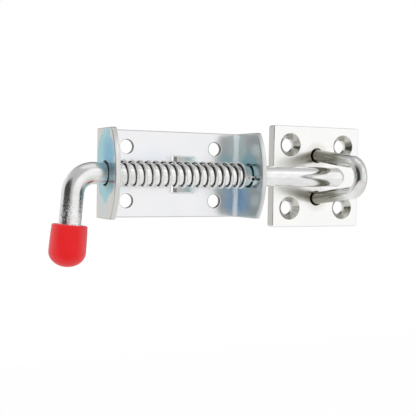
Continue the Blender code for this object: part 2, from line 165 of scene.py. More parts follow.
class Finishes(bpy.types.PropertyGroup):
    """Colours of the plating, the wire and the moulded cap."""
    bracket: FloatVectorProperty(
        name="Bracket", description="Bright zinc of the bracket", subtype="COLOR", size=3,
        default=(0.90, 0.90, 0.91), min=0, max=1
    )
    bar: FloatVectorProperty(
        name="Bar", description="Bright zinc of the bolt", subtype="COLOR", size=3,
        default=(0.93, 0.93, 0.93), min=0, max=1
    )
    wire: FloatVectorProperty(
        name="Wire", description="Plated spring wire", subtype="COLOR", size=3,
        default=(0.89, 0.89, 0.88), min=0, max=1
    )
    keeper: FloatVectorProperty(
        name="Keeper", description="Satin zinc of the keeper plate", subtype="COLOR", size=3,
        default=(0.985, 0.98, 0.965), min=0, max=1
    )
    staple: FloatVectorProperty(
        name="Staple", description="Plating of the staple", subtype="COLOR", size=3,
        default=(0.93, 0.94, 0.93), min=0, max=1
    )
    teal: FloatVectorProperty(
        name="Teal Bloom", description="Teal tint of the plating on the folded ends", subtype="COLOR",
        size=3, default=(0.37, 0.67, 0.73), min=0, max=1
    )
    blue: FloatVectorProperty(
        name="Blue Bloom", description="Blue tint of the plating in the folds", subtype="COLOR", size=3,
        default=(0.29, 0.53, 0.80), min=0, max=1
    )
    cap: FloatVectorProperty(
        name="Cap", description="Red moulded plastic", subtype="COLOR", size=3,
        default=(0.86, 0.014, 0.016), min=0, max=1
    )


# ---- mesh helpers


def arc(centre_a, centre_b, radius, start, end, steps):
    """Points on a round arc from one angle to another, both ends counted."""
    turns = [start + (end - start) * step / steps for step in range(steps + 1)]
    return [Vector((centre_a + radius * math.cos(t), centre_b + radius * math.sin(t))) for t in turns]


def circle(centre_a, centre_b, radius, sides):
    """A hole's outline. It runs clockwise, so its material lies on the left."""
    return arc(centre_a, centre_b, radius, 0, -2 * math.pi, sides)[:-1]


def set_in(outline, distance):
    """Moves a closed outline to its left, which is into the material."""
    moved = []
    count = len(outline)
    for index, point in enumerate(outline):
        before = (point - outline[index - 1]).normalized()
        after = (outline[(index + 1) % count] - point).normalized()
        left_before = Vector((-before.y, before.x))
        left_after = Vector((-after.y, after.x))
        miter = (left_before + left_after) / (1 + left_before.dot(left_after))
        moved.append(point + miter * distance)
    return moved


def rounded(corner, before, after, setback):
    """Takes a corner off in a short curve."""
    start = corner + (before - corner).normalized() * setback
    end = corner + (after - corner).normalized() * setback
    shares = [step / CORNER_STEPS for step in range(CORNER_STEPS + 1)]
    return [start * (1 - s) ** 2 + corner * 2 * s * (1 - s) + end * s ** 2 for s in shares]


def edge_profile(front_round, back_round, thickness, flat=0.25 * MM):
    """(how far in, how deep) from the front face over the edge to the back face."""
    rows = [(front_round + flat, 0.0)]
    quarter = [math.radians(angle) for angle in (0, 30, 60, 90)]
    rows += [(front_round * (1 - math.sin(t)), front_round * (1 - math.cos(t))) for t in quarter]
    rows += [
        (back_round * (1 - math.sin(t)), thickness - back_round * (1 - math.cos(t)))
        for t in reversed(quarter)
    ]
    rows.append((back_round + flat, thickness))
    return rows


def stack(outline, profile):
    """The rings of one edge or hole, from the front face to the back."""
    return [[(*point, deep) for point in set_in(outline, inward)] for inward, deep in profile]


def layered_plate(stacks, cut_shading=()):
    """A plate in (a, b, depth): each stack of rings is a wall, and both faces are filled.

    It keeps how much painted shade each wall gets, 0 to 1, in the order of the stacks.
    """
    work = bmesh.new()
    cut_shade_layer = work.verts.layers.float.new("cut_dull")
    front, back = [], []
    for number, rings in enumerate(stacks):
        rows = [[work.verts.new(place) for place in ring] for ring in rings]
        for row in rows[1:-1]:
            for vert in row:
                vert[cut_shade_layer] = cut_shading[number] if number < len(cut_shading) else 0.0
        count = len(rows[0])
        for upper, lower in zip(rows, rows[1:]):
            for index in range(count):
                after = (index + 1) % count
                work.faces.new((upper[index], upper[after], lower[after], lower[index]))
        for row, edges in ((rows[0], front), (rows[-1], back)):
            edges += [work.edges.get((row[i - 1], row[i])) for i in range(count)]
    for edges in (front, back):
        bmesh.ops.triangle_fill(work, use_beauty=True, use_dissolve=False, edges=edges)
    return work


def tube(route, radii, sides):
    """A round bar along a route, with flat closed ends. It keeps each point's place round and along."""
    work = bmesh.new()
    place_layer = work.verts.layers.float_vector.new("bar_place")
    heading = (route[1] - route[0]).normalized()
    across = heading.orthogonal().normalized()
    rows, along = [], 0.0
    for index, place in enumerate(route):
        before = (place - route[index - 1]).normalized() if index else heading
        last = index == len(route) - 1
        after = before if last else (route[index + 1] - place).normalized()
        middle = (before + after).normalized()
        across = (across - middle * across.dot(middle)).normalized()
        third = middle.cross(across)
        along += (place - route[index - 1]).length if index else 0.0
        row = []
        for side in range(sides):
            turn = 2 * math.pi * side / sides
            spoke = across * math.cos(turn) + third * math.sin(turn)
            vert = work.verts.new(place + spoke * radii[index])
            around = Vector((math.cos(turn), math.sin(turn))) * max(radii)
            vert[place_layer] = (around.x, around.y, along)
            row.append(vert)
        rows.append(row)
    for first, second in zip(rows, rows[1:]):
        for side in range(sides):
            after = (side + 1) % sides
            work.faces.new((first[side], first[after], second[after], second[side]))
    work.faces.new(list(reversed(rows[0])))
    work.faces.new(rows[-1])
    return work


def turned(profile, steps):
    """A closed turned solid about Z, from a profile whose two ends lie on the axis."""
    work = bmesh.new()
    rows = []
    for radius, height in profile:
        if radius < TOUCHING:
            rows.append([work.verts.new((0, 0, height))])
            continue
        turns = [2 * math.pi * step / steps for step in range(steps)]
        rows.append([work.verts.new((radius * math.cos(t), radius * math.sin(t), height)) for t in turns])
    for first, second in zip(rows, rows[1:]):
        for step in range(steps):
            after = (step + 1) % steps
            corners = [first[step % len(first)], first[after % len(first)],
                       second[after % len(second)], second[step % len(second)]]
            work.faces.new(list(dict.fromkeys(corners)))
    return work


def to_object(work, name):
    """Turns finished mesh work into a smooth object at the origin."""
    bmesh.ops.recalc_face_normals(work, faces=work.faces)
    mesh = bpy.data.meshes.new(name)
    work.to_mesh(mesh)
    work.free()
    piece = bpy.data.objects.new(name, mesh)
    bpy.context.scene.collection.objects.link(piece)
    shade(piece)
    return piece


def shade(piece):
    """Shades a piece smooth, except across its sharp edges."""
    piece.data.shade_smooth()
    piece.data.set_sharp_from_angle(angle=MESH_SHARP)


def bake(piece):
    """Applies what modifies a piece to its mesh."""
    bpy.context.view_layer.update()
    evaluated = piece.evaluated_get(bpy.context.evaluated_depsgraph_get())
    mesh = bpy.data.meshes.new_from_object(evaluated)
    piece.modifiers.clear()
    piece.data = mesh
    mesh.name = piece.name


def seat(piece, node, body, material):
    """Gives a finished piece its material and body, in place of its solid."""
    piece.data.materials.clear()
    piece.data.materials.append(material)
    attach(piece, body)
    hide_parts(node)


# ---- node helpers


def add_node(tree, kind, inputs=None, **settings):
    """A node with its settings, its inputs given by name or number as a value or a socket."""
    node = tree.nodes.new(kind)
    for key, value in settings.items():
        setattr(node, key, value)
    for key, value in (inputs or {}).items():
        if isinstance(value, bpy.types.NodeSocket):
            tree.links.new(value, node.inputs[key])
        else:
            node.inputs[key].default_value = value
    return node


class Finish:
    """A material under construction: a Principled shader and the nodes that feed it."""

    def __init__(self, name, metallic=1.0):
        self.material = bpy.data.materials.new(name)
        self.material.use_nodes = True
        self.tree = self.material.node_tree
        self.add = partial(add_node, self.tree)
        self.shader = self.tree.nodes["Principled BSDF"]
        self.shader.inputs["Metallic"].default_value = metallic

    def math(self, operation, first, second=0.0):
        """One sum on two values or sockets."""
        return self.add("ShaderNodeMath", {0: first, 1: second}, operation=operation).outputs[0]

    def places(self, scale=(1000, 1000, 1000)):
        """Object coordinates, in millimetres unless another scale is given."""
        coordinates = self.add("ShaderNodeTexCoord").outputs["Object"]
        return self.add("ShaderNodeMapping", {"Vector": coordinates, "Scale": scale}).outputs[0]

    def bar_places(self, scale):
        """Places round and along a bar, each with its own scale."""
        place = self.add("ShaderNodeAttribute", attribute_name="bar_place").outputs["Vector"]
        return self.add("ShaderNodeMapping", {"Vector": place, "Scale": scale}).outputs[0]

    def noise(self, vector, scale, detail=3.0, roughness=0.5):
        """Soft noise from 0 to 1."""
        values = {"Vector": vector, "Scale": scale, "Detail": detail, "Roughness": roughness}
        return self.add("ShaderNodeTexNoise", values).outputs["Fac"]

    def spread(self, value, low, high, to_low, to_high, smooth=False):
        """Maps low..high to another range, and holds it beyond both ends."""
        kind = "SMOOTHSTEP" if smooth else "LINEAR"
        values = {0: value, 1: low, 2: high, 3: to_low, 4: to_high}
        return self.add("ShaderNodeMapRange", values, interpolation_type=kind).outputs[0]

    def mix(self, share, first, second):
        """Blends from one colour to another by a share of 0 to 1."""
        node = self.add("ShaderNodeMix", {0: share}, data_type="RGBA")
        for number, value in ((6, first), (7, second)):
            if isinstance(value, bpy.types.NodeSocket):
                self.tree.links.new(value, node.inputs[number])
            else:
                node.inputs[number].default_value = (*value, 1.0)
        return node.outputs[2]

    def distance(self, first, second):
        """How far a place lies from an axis, from its two distances across it."""
        squares = self.math("ADD", self.math("MULTIPLY", first, first), self.math("MULTIPLY", second, second))
        return self.math("SQRT", squares)

    def bloom(self, places, centre, size, soft, wobble):
        """A patch round a centre, in millimetres: 1 inside, falling to 0 over the soft share of its size."""
        moved = self.add("ShaderNodeVectorMath", {0: places, 1: centre}, operation="SUBTRACT").outputs[0]
        shrunk = self.add("ShaderNodeVectorMath", {0: moved, 1: size}, operation="DIVIDE").outputs[0]
        far = self.add("ShaderNodeVectorMath", {0: shrunk}, operation="LENGTH").outputs["Value"]
        uneven = self.math("ADD", far, wobble)
        return self.spread(uneven, 1 - soft, 1 + soft, 1.0, 0.0, smooth=True)

    def feed(self, colour, roughness, height, strength=0.12, distance=0.02 * MM):
        """Joins the nodes to the shader, the height as a bump, and gives the finished material."""
        bump = self.add("ShaderNodeBump", {"Height": height, "Strength": strength, "Distance": distance})
        fed = {"Base Color": colour, "Roughness": roughness, "Normal": bump.outputs["Normal"]}
        for name, socket in fed.items():
            self.tree.links.new(socket, self.shader.inputs[name])
        return self.material


# ---- finishes

# Colours of stains, and of painted shade in holes, cuts, edges and crevices, of painted reflections and of a
# painted sheen
CLOUD_BLUISH = (0.88, 0.89, 0.92)
# Painted shade in the bracket's screw holes, and near-black painted shade in its bores
SCREW_HOLE_SHADE = (0.16, 0.15, 0.13)
BORE_SHADE = (0.015, 0.015, 0.015)
# Painted shade on the bracket's long edges, and dark olive painted shade on its cut walls, darkest at the
# tongue's end
LONG_EDGE_SHADE = (0.50, 0.51, 0.52)
TONGUE_CUT_SHADE = (0.30, 0.30, 0.25)
WIRE_SHADOW = (0.05, 0.05, 0.045)
KEEPER_CLOUD = (0.94, 0.94, 0.93)
SINK_LIGHT, SINK_DARK = (0.58, 0.57, 0.50), (0.40, 0.39, 0.33)
# Painted reflection of the staple's legs on the keeper, and painted shade round its feet
FOOT_LEG_REFLECTION, FOOT_SHADE = (0.60, 0.56, 0.50), (0.03, 0.03, 0.025)
# Painted shade on the keeper's edges, darker on its side towards the bolt
KEEPER_RIM_SHADE, KEEPER_SIDE_SHADE = (0.62, 0.61, 0.58), (0.40, 0.39, 0.37)
# Painted sheen: paler red where the cap is seen edge-on
CAP_EDGE_SHEEN = (0.84, 0.13, 0.145)

# In millimetres: how far a hole's painted shade fades, and where the keeper's stain, painted shade and
# painted reflection end before its back
EDGE_FADE = 0.18
STAIN_AND_SHADE_DEPTH_NEAR, STAIN_AND_SHADE_DEPTH_FAR = -1.6, -1.2
# How strong the dents of a pitted bar are at their most, and how close the cutter's rings lie
PIT_DEPTH = 150.0
CUTTER_RINGS = 14.0


def bracket_finish(colours, sizes):
    """Bright zinc on rolled sheet.

    It has fine rolling lines and faint clouds, with teal and blue blooms on the folded ends, a painted
    highlight along the right fold, a painted reflection on the tongue, and painted shade round the bar at the
    left flange, in the holes and bores and on the edges and cut walls.
    """
    finish = Finish("bracket_zinc")
    places = finish.places()
    clouds = finish.noise(places, 0.07, 4.0, 0.55)
    wobble = finish.spread(finish.noise(places, 0.13, 2.0), 0.3, 0.7, -0.16, 0.16)
    colour = finish.mix(finish.spread(clouds, 0.35, 0.7, 0.0, 0.5), tuple(colours.bracket), CLOUD_BLUISH)
    # Centre and half size in millimetres, tint, its share, how soft its border is
    blooms = (
        ((-74.0, -18.0, 0.0), (0.5, 40.0, 60.0), (0.73, 0.71, 0.66), 0.90, 0.05),
        ((-74.0, -14.0, -17.0), (0.6, 5.0, 6.0), (0.62, 0.74, 0.80), 0.60, 0.50),
        ((-74.0, -18.5, 5.0), (0.6, 13.6, 20.8), tuple(colours.teal), 0.97, 0.06),
        ((-74.0, -23.5, 10.0), (0.6, 8.5, 9.5), (0.16, 0.45, 0.66), 0.75, 0.55),
        # Painted shade: a dark teal patch round the bar in front of the left bore
        ((-74.0, -26.0, -1.5), (0.6, 9.0, 7.0), (0.10, 0.22, 0.27), 0.75, 0.60),
        ((15.0, -16.0, 0.0), (1.5, 30.0, 40.0), (0.74, 0.82, 0.81), 0.70, 0.30),
        ((15.0, -25.0, -17.0), (1.5, 11.0, 11.0), (0.42, 0.50, 0.52), 0.85, 0.60),
        ((15.0, -25.0, 17.0), (1.5, 11.0, 11.0), (0.50, 0.57, 0.57), 0.80, 0.60),
        ((15.0, -9.0, -14.5), (3.0, 9.5, 9.0), tuple(colours.blue), 0.90, 0.60),
        ((15.0, -16.0, 3.0), (1.5, 13.0, 10.0), (0.30, 0.64, 0.74), 0.85, 0.50),
        ((14.5, -6.0, 15.0), (3.0, 6.0, 9.0), (0.66, 0.84, 0.85), 0.60, 0.50),
        # Painted highlight: a near-white strip along the right flange's inner fold
        ((14.2, -3.8, 0.0), (1.2, 1.2, 60.0), (0.90, 0.96, 0.99), 0.95, 0.40),
        ((-38.0, -3.0, 9.0), (20.0, 4.0, 6.0), (0.78, 0.84, 0.92), 0.35, 0.60),
    )
    for centre, size, tint, most, soft in blooms:
        patch = finish.bloom(places, centre, size, soft, wobble)
        colour = finish.mix(finish.math("MULTIPLY", patch, most), colour, tint)
    parts = finish.add("ShaderNodeSeparateXYZ", {0: places}).outputs
    height_off = finish.math("ABSOLUTE", parts[2])
    on_tongue = finish.spread(height_off, TONGUE_HALF / MM, TONGUE_HALF / MM + 0.2, 1.0, 0.0)
    # Painted reflection of the teal right flange on the tongue's slope
    for centre, size, tint, most, soft in (
        ((-21.0, -6.0, 0.0), (8.0, 5.0, 30.0), (0.84, 0.88, 0.84), 0.60, 0.40),
        ((-16.5, -4.0, 0.0), (3.5, 3.0, 30.0), (0.50, 0.76, 0.76), 0.65, 0.60),
    ):
        patch = finish.math("MULTIPLY", finish.bloom(places, centre, size, soft, wobble), on_tongue)
        colour = finish.mix(finish.math("MULTIPLY", patch, most), colour, tint)
    # The folds and the bent tongue are made nearly without metal, so that the painted highlight on the folds
    # and the painted reflection on the tongue show as colour
    metal = 1.0
    for centre, size, least, soft, where in (
        ((14.3, -3.7, 0.0), (2.0, 2.0, 60.0), 0.05, 0.40, 1.0),
        ((-70.3, -3.7, 0.0), (2.0, 2.0, 60.0), 0.05, 0.40, 1.0),
        ((-20.5, -5.6, 0.0), (9.5, 5.0, 30.0), 0.12, 0.30, on_tongue),
    ):
        patch = finish.math("MULTIPLY", finish.bloom(places, centre, size, soft, wobble), where)
        metal = finish.math("MULTIPLY", finish.spread(patch, 0.0, 1.0, 1.0, least), metal)
    finish.tree.links.new(metal, finish.shader.inputs["Metallic"])
    middle_x = (X_LEFT + SCREW_INSET + SCREW_PITCH_ALONG / 2) / MM
    side = finish.math("ABSOLUTE", finish.math("SUBTRACT", parts[0], middle_x))
    side = finish.math("SUBTRACT", side, SCREW_PITCH_ALONG / 2 / MM)
    up = finish.math("SUBTRACT", height_off, SCREW_PITCH_ACROSS / 2 / MM)
    out = finish.math("SUBTRACT", parts[1], AXIS_Y / MM)
    # Painted shade in the screw holes and near-black painted shade in the bores: two distances across the
    # hole, its radius, how far the shade reaches past it, colour
    for first, second, radius, stain_and_shade, dark in (
        (side, up, sizes.screw_hole / 2 / MM, 0.05, SCREW_HOLE_SHADE),
        (out, parts[2], sizes.bore / 2 / MM, 0.60, BORE_SHADE),
    ):
        far = finish.distance(first, second)
        wall = finish.spread(far, radius + stain_and_shade, radius + stain_and_shade + EDGE_FADE, 1.0, 0.0)
        colour = finish.mix(wall, colour, dark)
    rolled = finish.noise(finish.places((60, 900, 2600)), 1.0, 3.0, 0.6)
    grain = finish.noise(places, 3.0, 2.0)
    # Painted shade: the long edges are greyer, and the cut walls are darker, the tongue's cut the most
    top = HALF_HEIGHT / MM
    border = finish.spread(height_off, top - 0.6, top - 0.3, 0.0, 0.75)
    colour = finish.mix(border, colour, LONG_EDGE_SHADE)
    cut_shade_share = finish.add("ShaderNodeAttribute", attribute_name="cut_dull").outputs["Fac"]
    cut_shade_share = finish.math("MULTIPLY", cut_shade_share, finish.spread(grain, 0.35, 0.65, 0.75, 1.0))
    colour = finish.mix(cut_shade_share, colour, TONGUE_CUT_SHADE)
    rough = finish.spread(clouds, 0.3, 0.75, 0.16, 0.27)
    rough = finish.math("ADD", rough, finish.spread(grain, 0.3, 0.7, -0.02, 0.03))
    height = finish.math("ADD", finish.math("MULTIPLY", rolled, 0.5), grain)
    return finish.feed(colour, rough, height, strength=0.10)


def bar_finish(name, tone, dark, rough_low, rough_high, darker_towards_door=None, pitted=None):
    """Plated drawn bar: lines along it, fine pits and slow changes of tone.

    Given two places along Y, a bar darkens towards the door between them, and a pitted one
    grows rougher downwards between two heights along Z, all in millimetres.
    """
    finish = Finish(name)
    drawn = finish.noise(finish.bar_places((1400, 1400, 40)), 1.0, 3.0, 0.6)
    clouds = finish.noise(finish.bar_places((90, 90, 60)), 1.0, 4.0, 0.6)
    pits = finish.noise(finish.bar_places((2200, 2200, 2200)), 1.0, 3.0, 0.7)
    colour = finish.mix(finish.spread(clouds, 0.45, 0.75, 0.0, 0.6), tone, dark)
    colour = finish.mix(finish.spread(drawn, 0.62, 0.8, 0.0, 0.35), colour, dark)
    parts = finish.add("ShaderNodeSeparateXYZ", {0: finish.places()}).outputs
    # Darker towards the door between the two places along Y
    if darker_towards_door:
        share = finish.spread(parts[1], darker_towards_door[0], darker_towards_door[1], 0.0, 0.92, smooth=True)
        colour = finish.mix(share, colour, dark)
    rough = finish.spread(finish.math("ADD", clouds, drawn), 0.7, 1.3, rough_low, rough_high)
    height = finish.math("ADD", drawn, finish.math("MULTIPLY", pits, 0.6))
    if pitted:
        dents = finish.noise(finish.bar_places((1000, 1000, 800)), 1.0, 2.0, 0.6)
        depth = finish.spread(parts[2], pitted[0], pitted[1], 0.0, PIT_DEPTH)
        height = finish.math("ADD", height, finish.math("MULTIPLY", dents, depth))
        matt = finish.spread(dents, 0.46, 0.60, 0.0, 0.38)
        matt = finish.math("MULTIPLY", matt, finish.math("DIVIDE", depth, PIT_DEPTH))
        rough = finish.math("ADD", rough, matt)
    return finish.feed(colour, rough, height)


def wire_finish(name, tone, dark, axis, shade_fades_at, shade_full_at, metallic=1.0):
    """Plated steel, bright outside. Nearer to its axis than a given distance it carries dark painted shade.
    """
    finish = Finish(name, metallic)
    places = finish.places()
    clouds = finish.noise(places, 0.5, 3.0)
    specks = finish.noise(places, 4.0, 2.0)
    colour = finish.mix(finish.spread(clouds, 0.4, 0.75, 0.0, 0.5), tone, dark)
    centre = (PIN_X / MM, AXIS_Y / MM, 0)
    moved = finish.add("ShaderNodeVectorMath", {0: places, 1: centre}, operation="SUBTRACT").outputs[0]
    across = finish.add("ShaderNodeVectorMath", {0: moved, 1: axis}, operation="CROSS_PRODUCT").outputs[0]
    far = finish.add("ShaderNodeVectorMath", {0: across}, operation="LENGTH").outputs["Value"]
    # Painted shade on the side towards the axis: between the coils and the bar, and inside the pin's bore
    painted_shade = finish.spread(far, shade_full_at / MM, shade_fades_at / MM, 1.0, 0.0, smooth=True)
    colour = finish.mix(painted_shade, colour, WIRE_SHADOW)
    rough = finish.spread(clouds, 0.3, 0.7, 0.16, 0.26)
    return finish.feed(colour, rough, specks)


def keeper_finish(colours, sizes):
    """Satin zinc on thick plate. The countersinks are duller, olive and ringed by the cutter. It has a
    painted reflection of the staple's legs, painted shade round their feet and painted shade along its edges.
    """
    finish = Finish("keeper_zinc")
    places = finish.places()
    clouds = finish.noise(places, 0.06, 4.0, 0.55)
    grain = finish.noise(places, 2.4, 3.0, 0.6)
    parts = finish.add("ShaderNodeSeparateXYZ", {0: places}).outputs
    half_pitch = sizes.pitch / 2 / MM
    side = finish.math("ABSOLUTE", finish.math("SUBTRACT", parts[0], KEEPER_X / MM))
    side = finish.math("SUBTRACT", side, half_pitch)
    up = finish.math("SUBTRACT", finish.math("ABSOLUTE", parts[2]), half_pitch)
    far = finish.distance(side, up)
    # The countersink stain, the painted shade and the painted reflection stop short of the plate's back
    front = finish.spread(parts[1], STAIN_AND_SHADE_DEPTH_NEAR, STAIN_AND_SHADE_DEPTH_FAR, 1.0, 0.0)
    mouth = sizes.countersink / 2 / MM
    sunk = finish.math("MULTIPLY", finish.spread(far, mouth + 0.05, mouth + 0.25, 1.0, 0.0), front)
    colour = finish.mix(finish.spread(clouds, 0.35, 0.7, 0.0, 0.4), tuple(colours.keeper), KEEPER_CLOUD)
    stain_and_shade = finish.mix(finish.spread(grain, 0.35, 0.65, 0.0, 1.0), SINK_LIGHT, SINK_DARK)
    colour = finish.mix(finish.math("MULTIPLY", sunk, 0.62), colour, stain_and_shade)
    # Painted reflection of each staple leg on the plate, and a ring of painted shade round each foot
    foot = finish.math("SUBTRACT", finish.math("ABSOLUTE", parts[2]), STAPLE_FOOT_PITCH / 2 / MM)
    foot_side = finish.math("SUBTRACT", parts[0], KEEPER_X / MM)
    near_foot = finish.distance(foot_side, foot)
    leg_reflection = finish.spread(near_foot, FOOT_SHADE_AND_REFLECTION_RADIUS / MM, FOOT_SHADE_AND_REFLECTION_RADIUS * 2.2 / MM, 1.0, 0.0, smooth=True)
    leg_reflection = finish.math("MULTIPLY", leg_reflection, finish.spread(grain, 0.3, 0.6, 0.15, 0.55))
    leg_reflection = finish.math("MULTIPLY", leg_reflection, front)
    colour = finish.mix(leg_reflection, colour, FOOT_LEG_REFLECTION)
    ring = finish.spread(near_foot, FOOT_SHADE_AND_REFLECTION_RADIUS / MM, FOOT_SHADE_AND_REFLECTION_RADIUS / MM + 0.2, 1.0, 0.0)
    colour = finish.mix(finish.math("MULTIPLY", ring, front), colour, FOOT_SHADE)
    # Painted shade: the plate's edges are greyer, and its side towards the bolt a little more so
    half = KEEPER_HALF / MM
    edge = finish.math("MAXIMUM", finish.math("ABSOLUTE", foot_side), finish.math("ABSOLUTE", parts[2]))
    colour = finish.mix(finish.spread(edge, half - 0.35, half - 0.1, 0.0, 0.85), colour, KEEPER_RIM_SHADE)
    colour = finish.mix(finish.spread(foot_side, 0.15 - half, 0.3 - half, 0.18, 0.0), colour, KEEPER_SIDE_SHADE)
    rings = finish.math("SINE", finish.math("MULTIPLY", far, CUTTER_RINGS))
    rough = finish.spread(clouds, 0.3, 0.7, 0.14, 0.22)
    rough = finish.math("ADD", rough, finish.math("MULTIPLY", grain, 0.05))
    height = finish.math("ADD", grain, finish.math("MULTIPLY", finish.math("MULTIPLY", rings, sunk), 0.6))
    return finish.feed(colour, rough, height, distance=0.03 * MM)


def cap_finish(colours):
    """Half-gloss moulded plastic with a fine matt grain, and a painted sheen of paler red where it is seen
    edge-on.
    """
    finish = Finish("red_plastic", 0.0)
    finish.shader.inputs["Specular IOR Level"].default_value = 0.16
    places = finish.places()
    clouds = finish.noise(places, 0.12, 3.0)
    grain = finish.noise(places, 9.0, 2.0)
    red = tuple(colours.cap)
    pale = (min(red[0] * 1.03, 1), red[1] + 0.008, red[2] + 0.010)
    colour = finish.mix(finish.spread(clouds, 0.3, 0.7, 0.0, 1.0), red, pale)
    # Painted sheen: the red turns paler where the surface is seen edge-on
    grazing = finish.add("ShaderNodeLayerWeight", {"Blend": 0.5}).outputs["Facing"]
    height_at = finish.add("ShaderNodeSeparateXYZ", {0: places}).outputs[2]
    above_dome = finish.spread(height_at, -50.0, -42.0, 0.2, 1.0)
    share = finish.math("MULTIPLY", finish.spread(grazing, 0.12, 0.75, 0.0, 0.9), above_dome)
    colour = finish.mix(share, colour, CAP_EDGE_SHEEN)
    rough = finish.spread(clouds, 0.3, 0.7, 0.34, 0.44)
    return finish.feed(colour, rough, grain)


# ---- the bracket

SCREW_INSET = 18.0 * MM
SCREW_PITCH_ALONG = 56.0 * MM
SCREW_PITCH_ACROSS = 31.0 * MM
FLANGE_CORNER = 1.2 * MM
TONGUE_ROOT = -13.6 * MM
TONGUE_HALF = 10.5 * MM
TONGUE_SHEAR = 0.4 * MM
TONGUE_END_SLOT = 0.35 * MM
TONGUE_RISE = 4.1 * MM
TONGUE_ANGLE = math.radians(22)
TONGUE_BEND = 14.0 * MM
BEND_CUTS = 12
TONGUE_CUTS = 8
SUPPORT = 0.35 * MM
TONGUE_EDGE_FLAT = 0.05 * MM
# How much painted shade the outline's cut walls get, beside the full share on the tongue's slot
OUTLINE_CUT_SHADE = 0.32
END_STEPS = 36
BORE_SIDES = 72


class FoldedSheet:
    """Where a place on the flat blank lands once the sheet is folded."""

    def __init__(self, sizes):
        self.sheet = sizes.sheet
        self.inside = sizes.bend_inside
        self.outside = self.inside + self.sheet
        self.middle_radius = self.inside + self.sheet / 2
        self.bend_length = self.middle_radius * math.pi / 2
        self.left = X_LEFT + self.outside
        self.right = X_RIGHT - self.outside
        self.tongue_bent = (TONGUE_BEND + self.sheet / 2) * TONGUE_ANGLE
        rise = TONGUE_RISE - TONGUE_BEND * (1 - math.cos(TONGUE_ANGLE))
        self.tongue_straight = rise / math.sin(TONGUE_ANGLE)
        self.tongue_tip = TONGUE_ROOT - self.tongue_bent - self.tongue_straight

    def flat(self, side, stands_out):
        """The blank's coordinate of a place on a folded end, by how far it stands out from the door."""
        along = self.bend_length + stands_out - self.outside
        return self.right + along if side > 0 else self.left - along

    def fold_cuts(self):
        """Where the blank is cut across, so that its folds are smooth."""
        cuts = []
        for start, sign in ((self.right, 1), (self.left, -1)):
            cuts += [start + sign * self.bend_length * step / BEND_CUTS for step in range(BEND_CUTS + 1)]
            cuts += [start - sign * SUPPORT, start + sign * (self.bend_length + SUPPORT)]
        cuts += [TONGUE_ROOT - self.tongue_bent * step / TONGUE_CUTS for step in range(TONGUE_CUTS + 1)]
        cuts += [TONGUE_ROOT + SUPPORT, TONGUE_ROOT - self.tongue_bent - SUPPORT]
        return cuts

    def fold(self, place):
        """From (along, up, depth from the front) to the part's own frame."""
        along, up, deep = place
        radius = self.inside + deep
        for start, sign in ((self.right, 1), (self.left, -1)):
            past = (along - start) * sign
            if past <= 0:
                continue
            turn = min(past / self.middle_radius, math.pi / 2)
            straight = max(past - self.bend_length, 0)
            x = start + sign * radius * math.sin(turn)
            return Vector((x, -self.outside + radius * math.cos(turn) - straight, up))
        free = TONGUE_ROOT - along
        on_tongue = 0 < free < self.tongue_bent + self.tongue_straight + TONGUE_END_SLOT / 2
        if on_tongue and abs(up) < TONGUE_HALF + TONGUE_SHEAR / 2:
            turn = TONGUE_ANGLE * min(free / self.tongue_bent, 1)
            beyond = max(free - self.tongue_bent, 0)
            around = TONGUE_BEND + deep
            x = TONGUE_ROOT - around * math.sin(turn) - beyond * math.cos(turn)
            y = -self.sheet - TONGUE_BEND + around * math.cos(turn) - beyond * math.sin(turn)
            return Vector((x, y, up))
        return Vector((along, -self.sheet + deep, up))


def blank_outline(sheet, sizes):
    """The strip's outline before folding: straight above and below, curved at both ends."""
    middle = -BRACKET_LOW.y
    crown = middle - sizes.flange_ends
    radius = (HALF_HEIGHT ** 2 + crown ** 2) / (2 * crown)
    spread = math.asin(HALF_HEIGHT / radius)
    outline = []
    for side in (1, -1):
        centre = sheet.flat(side, middle) - side * radius
        turn = 0 if side > 0 else math.pi
        curve = arc(centre, 0, radius, turn - spread, turn + spread, END_STEPS)
        before = Vector((0, curve[0].y))
        after = Vector((0, curve[-1].y))
        outline += rounded(curve[0], before, curve[1], FLANGE_CORNER)
        outline += curve[1:-1]
        outline += rounded(curve[-1], curve[-2], after, FLANGE_CORNER)
    return outline


def tongue_slot(sheet):
    """The slot that frees the tongue on three sides. It runs clockwise."""
    inner, outer = TONGUE_HALF, TONGUE_HALF + TONGUE_SHEAR
    far = sheet.tongue_tip - TONGUE_END_SLOT
    corners = [
        (TONGUE_ROOT, inner), (sheet.tongue_tip, inner), (sheet.tongue_tip, -inner), (TONGUE_ROOT, -inner),
        (TONGUE_ROOT, -outer), (far, -outer), (far, outer), (TONGUE_ROOT, outer),
    ]
    return [Vector(corner) for corner in corners]


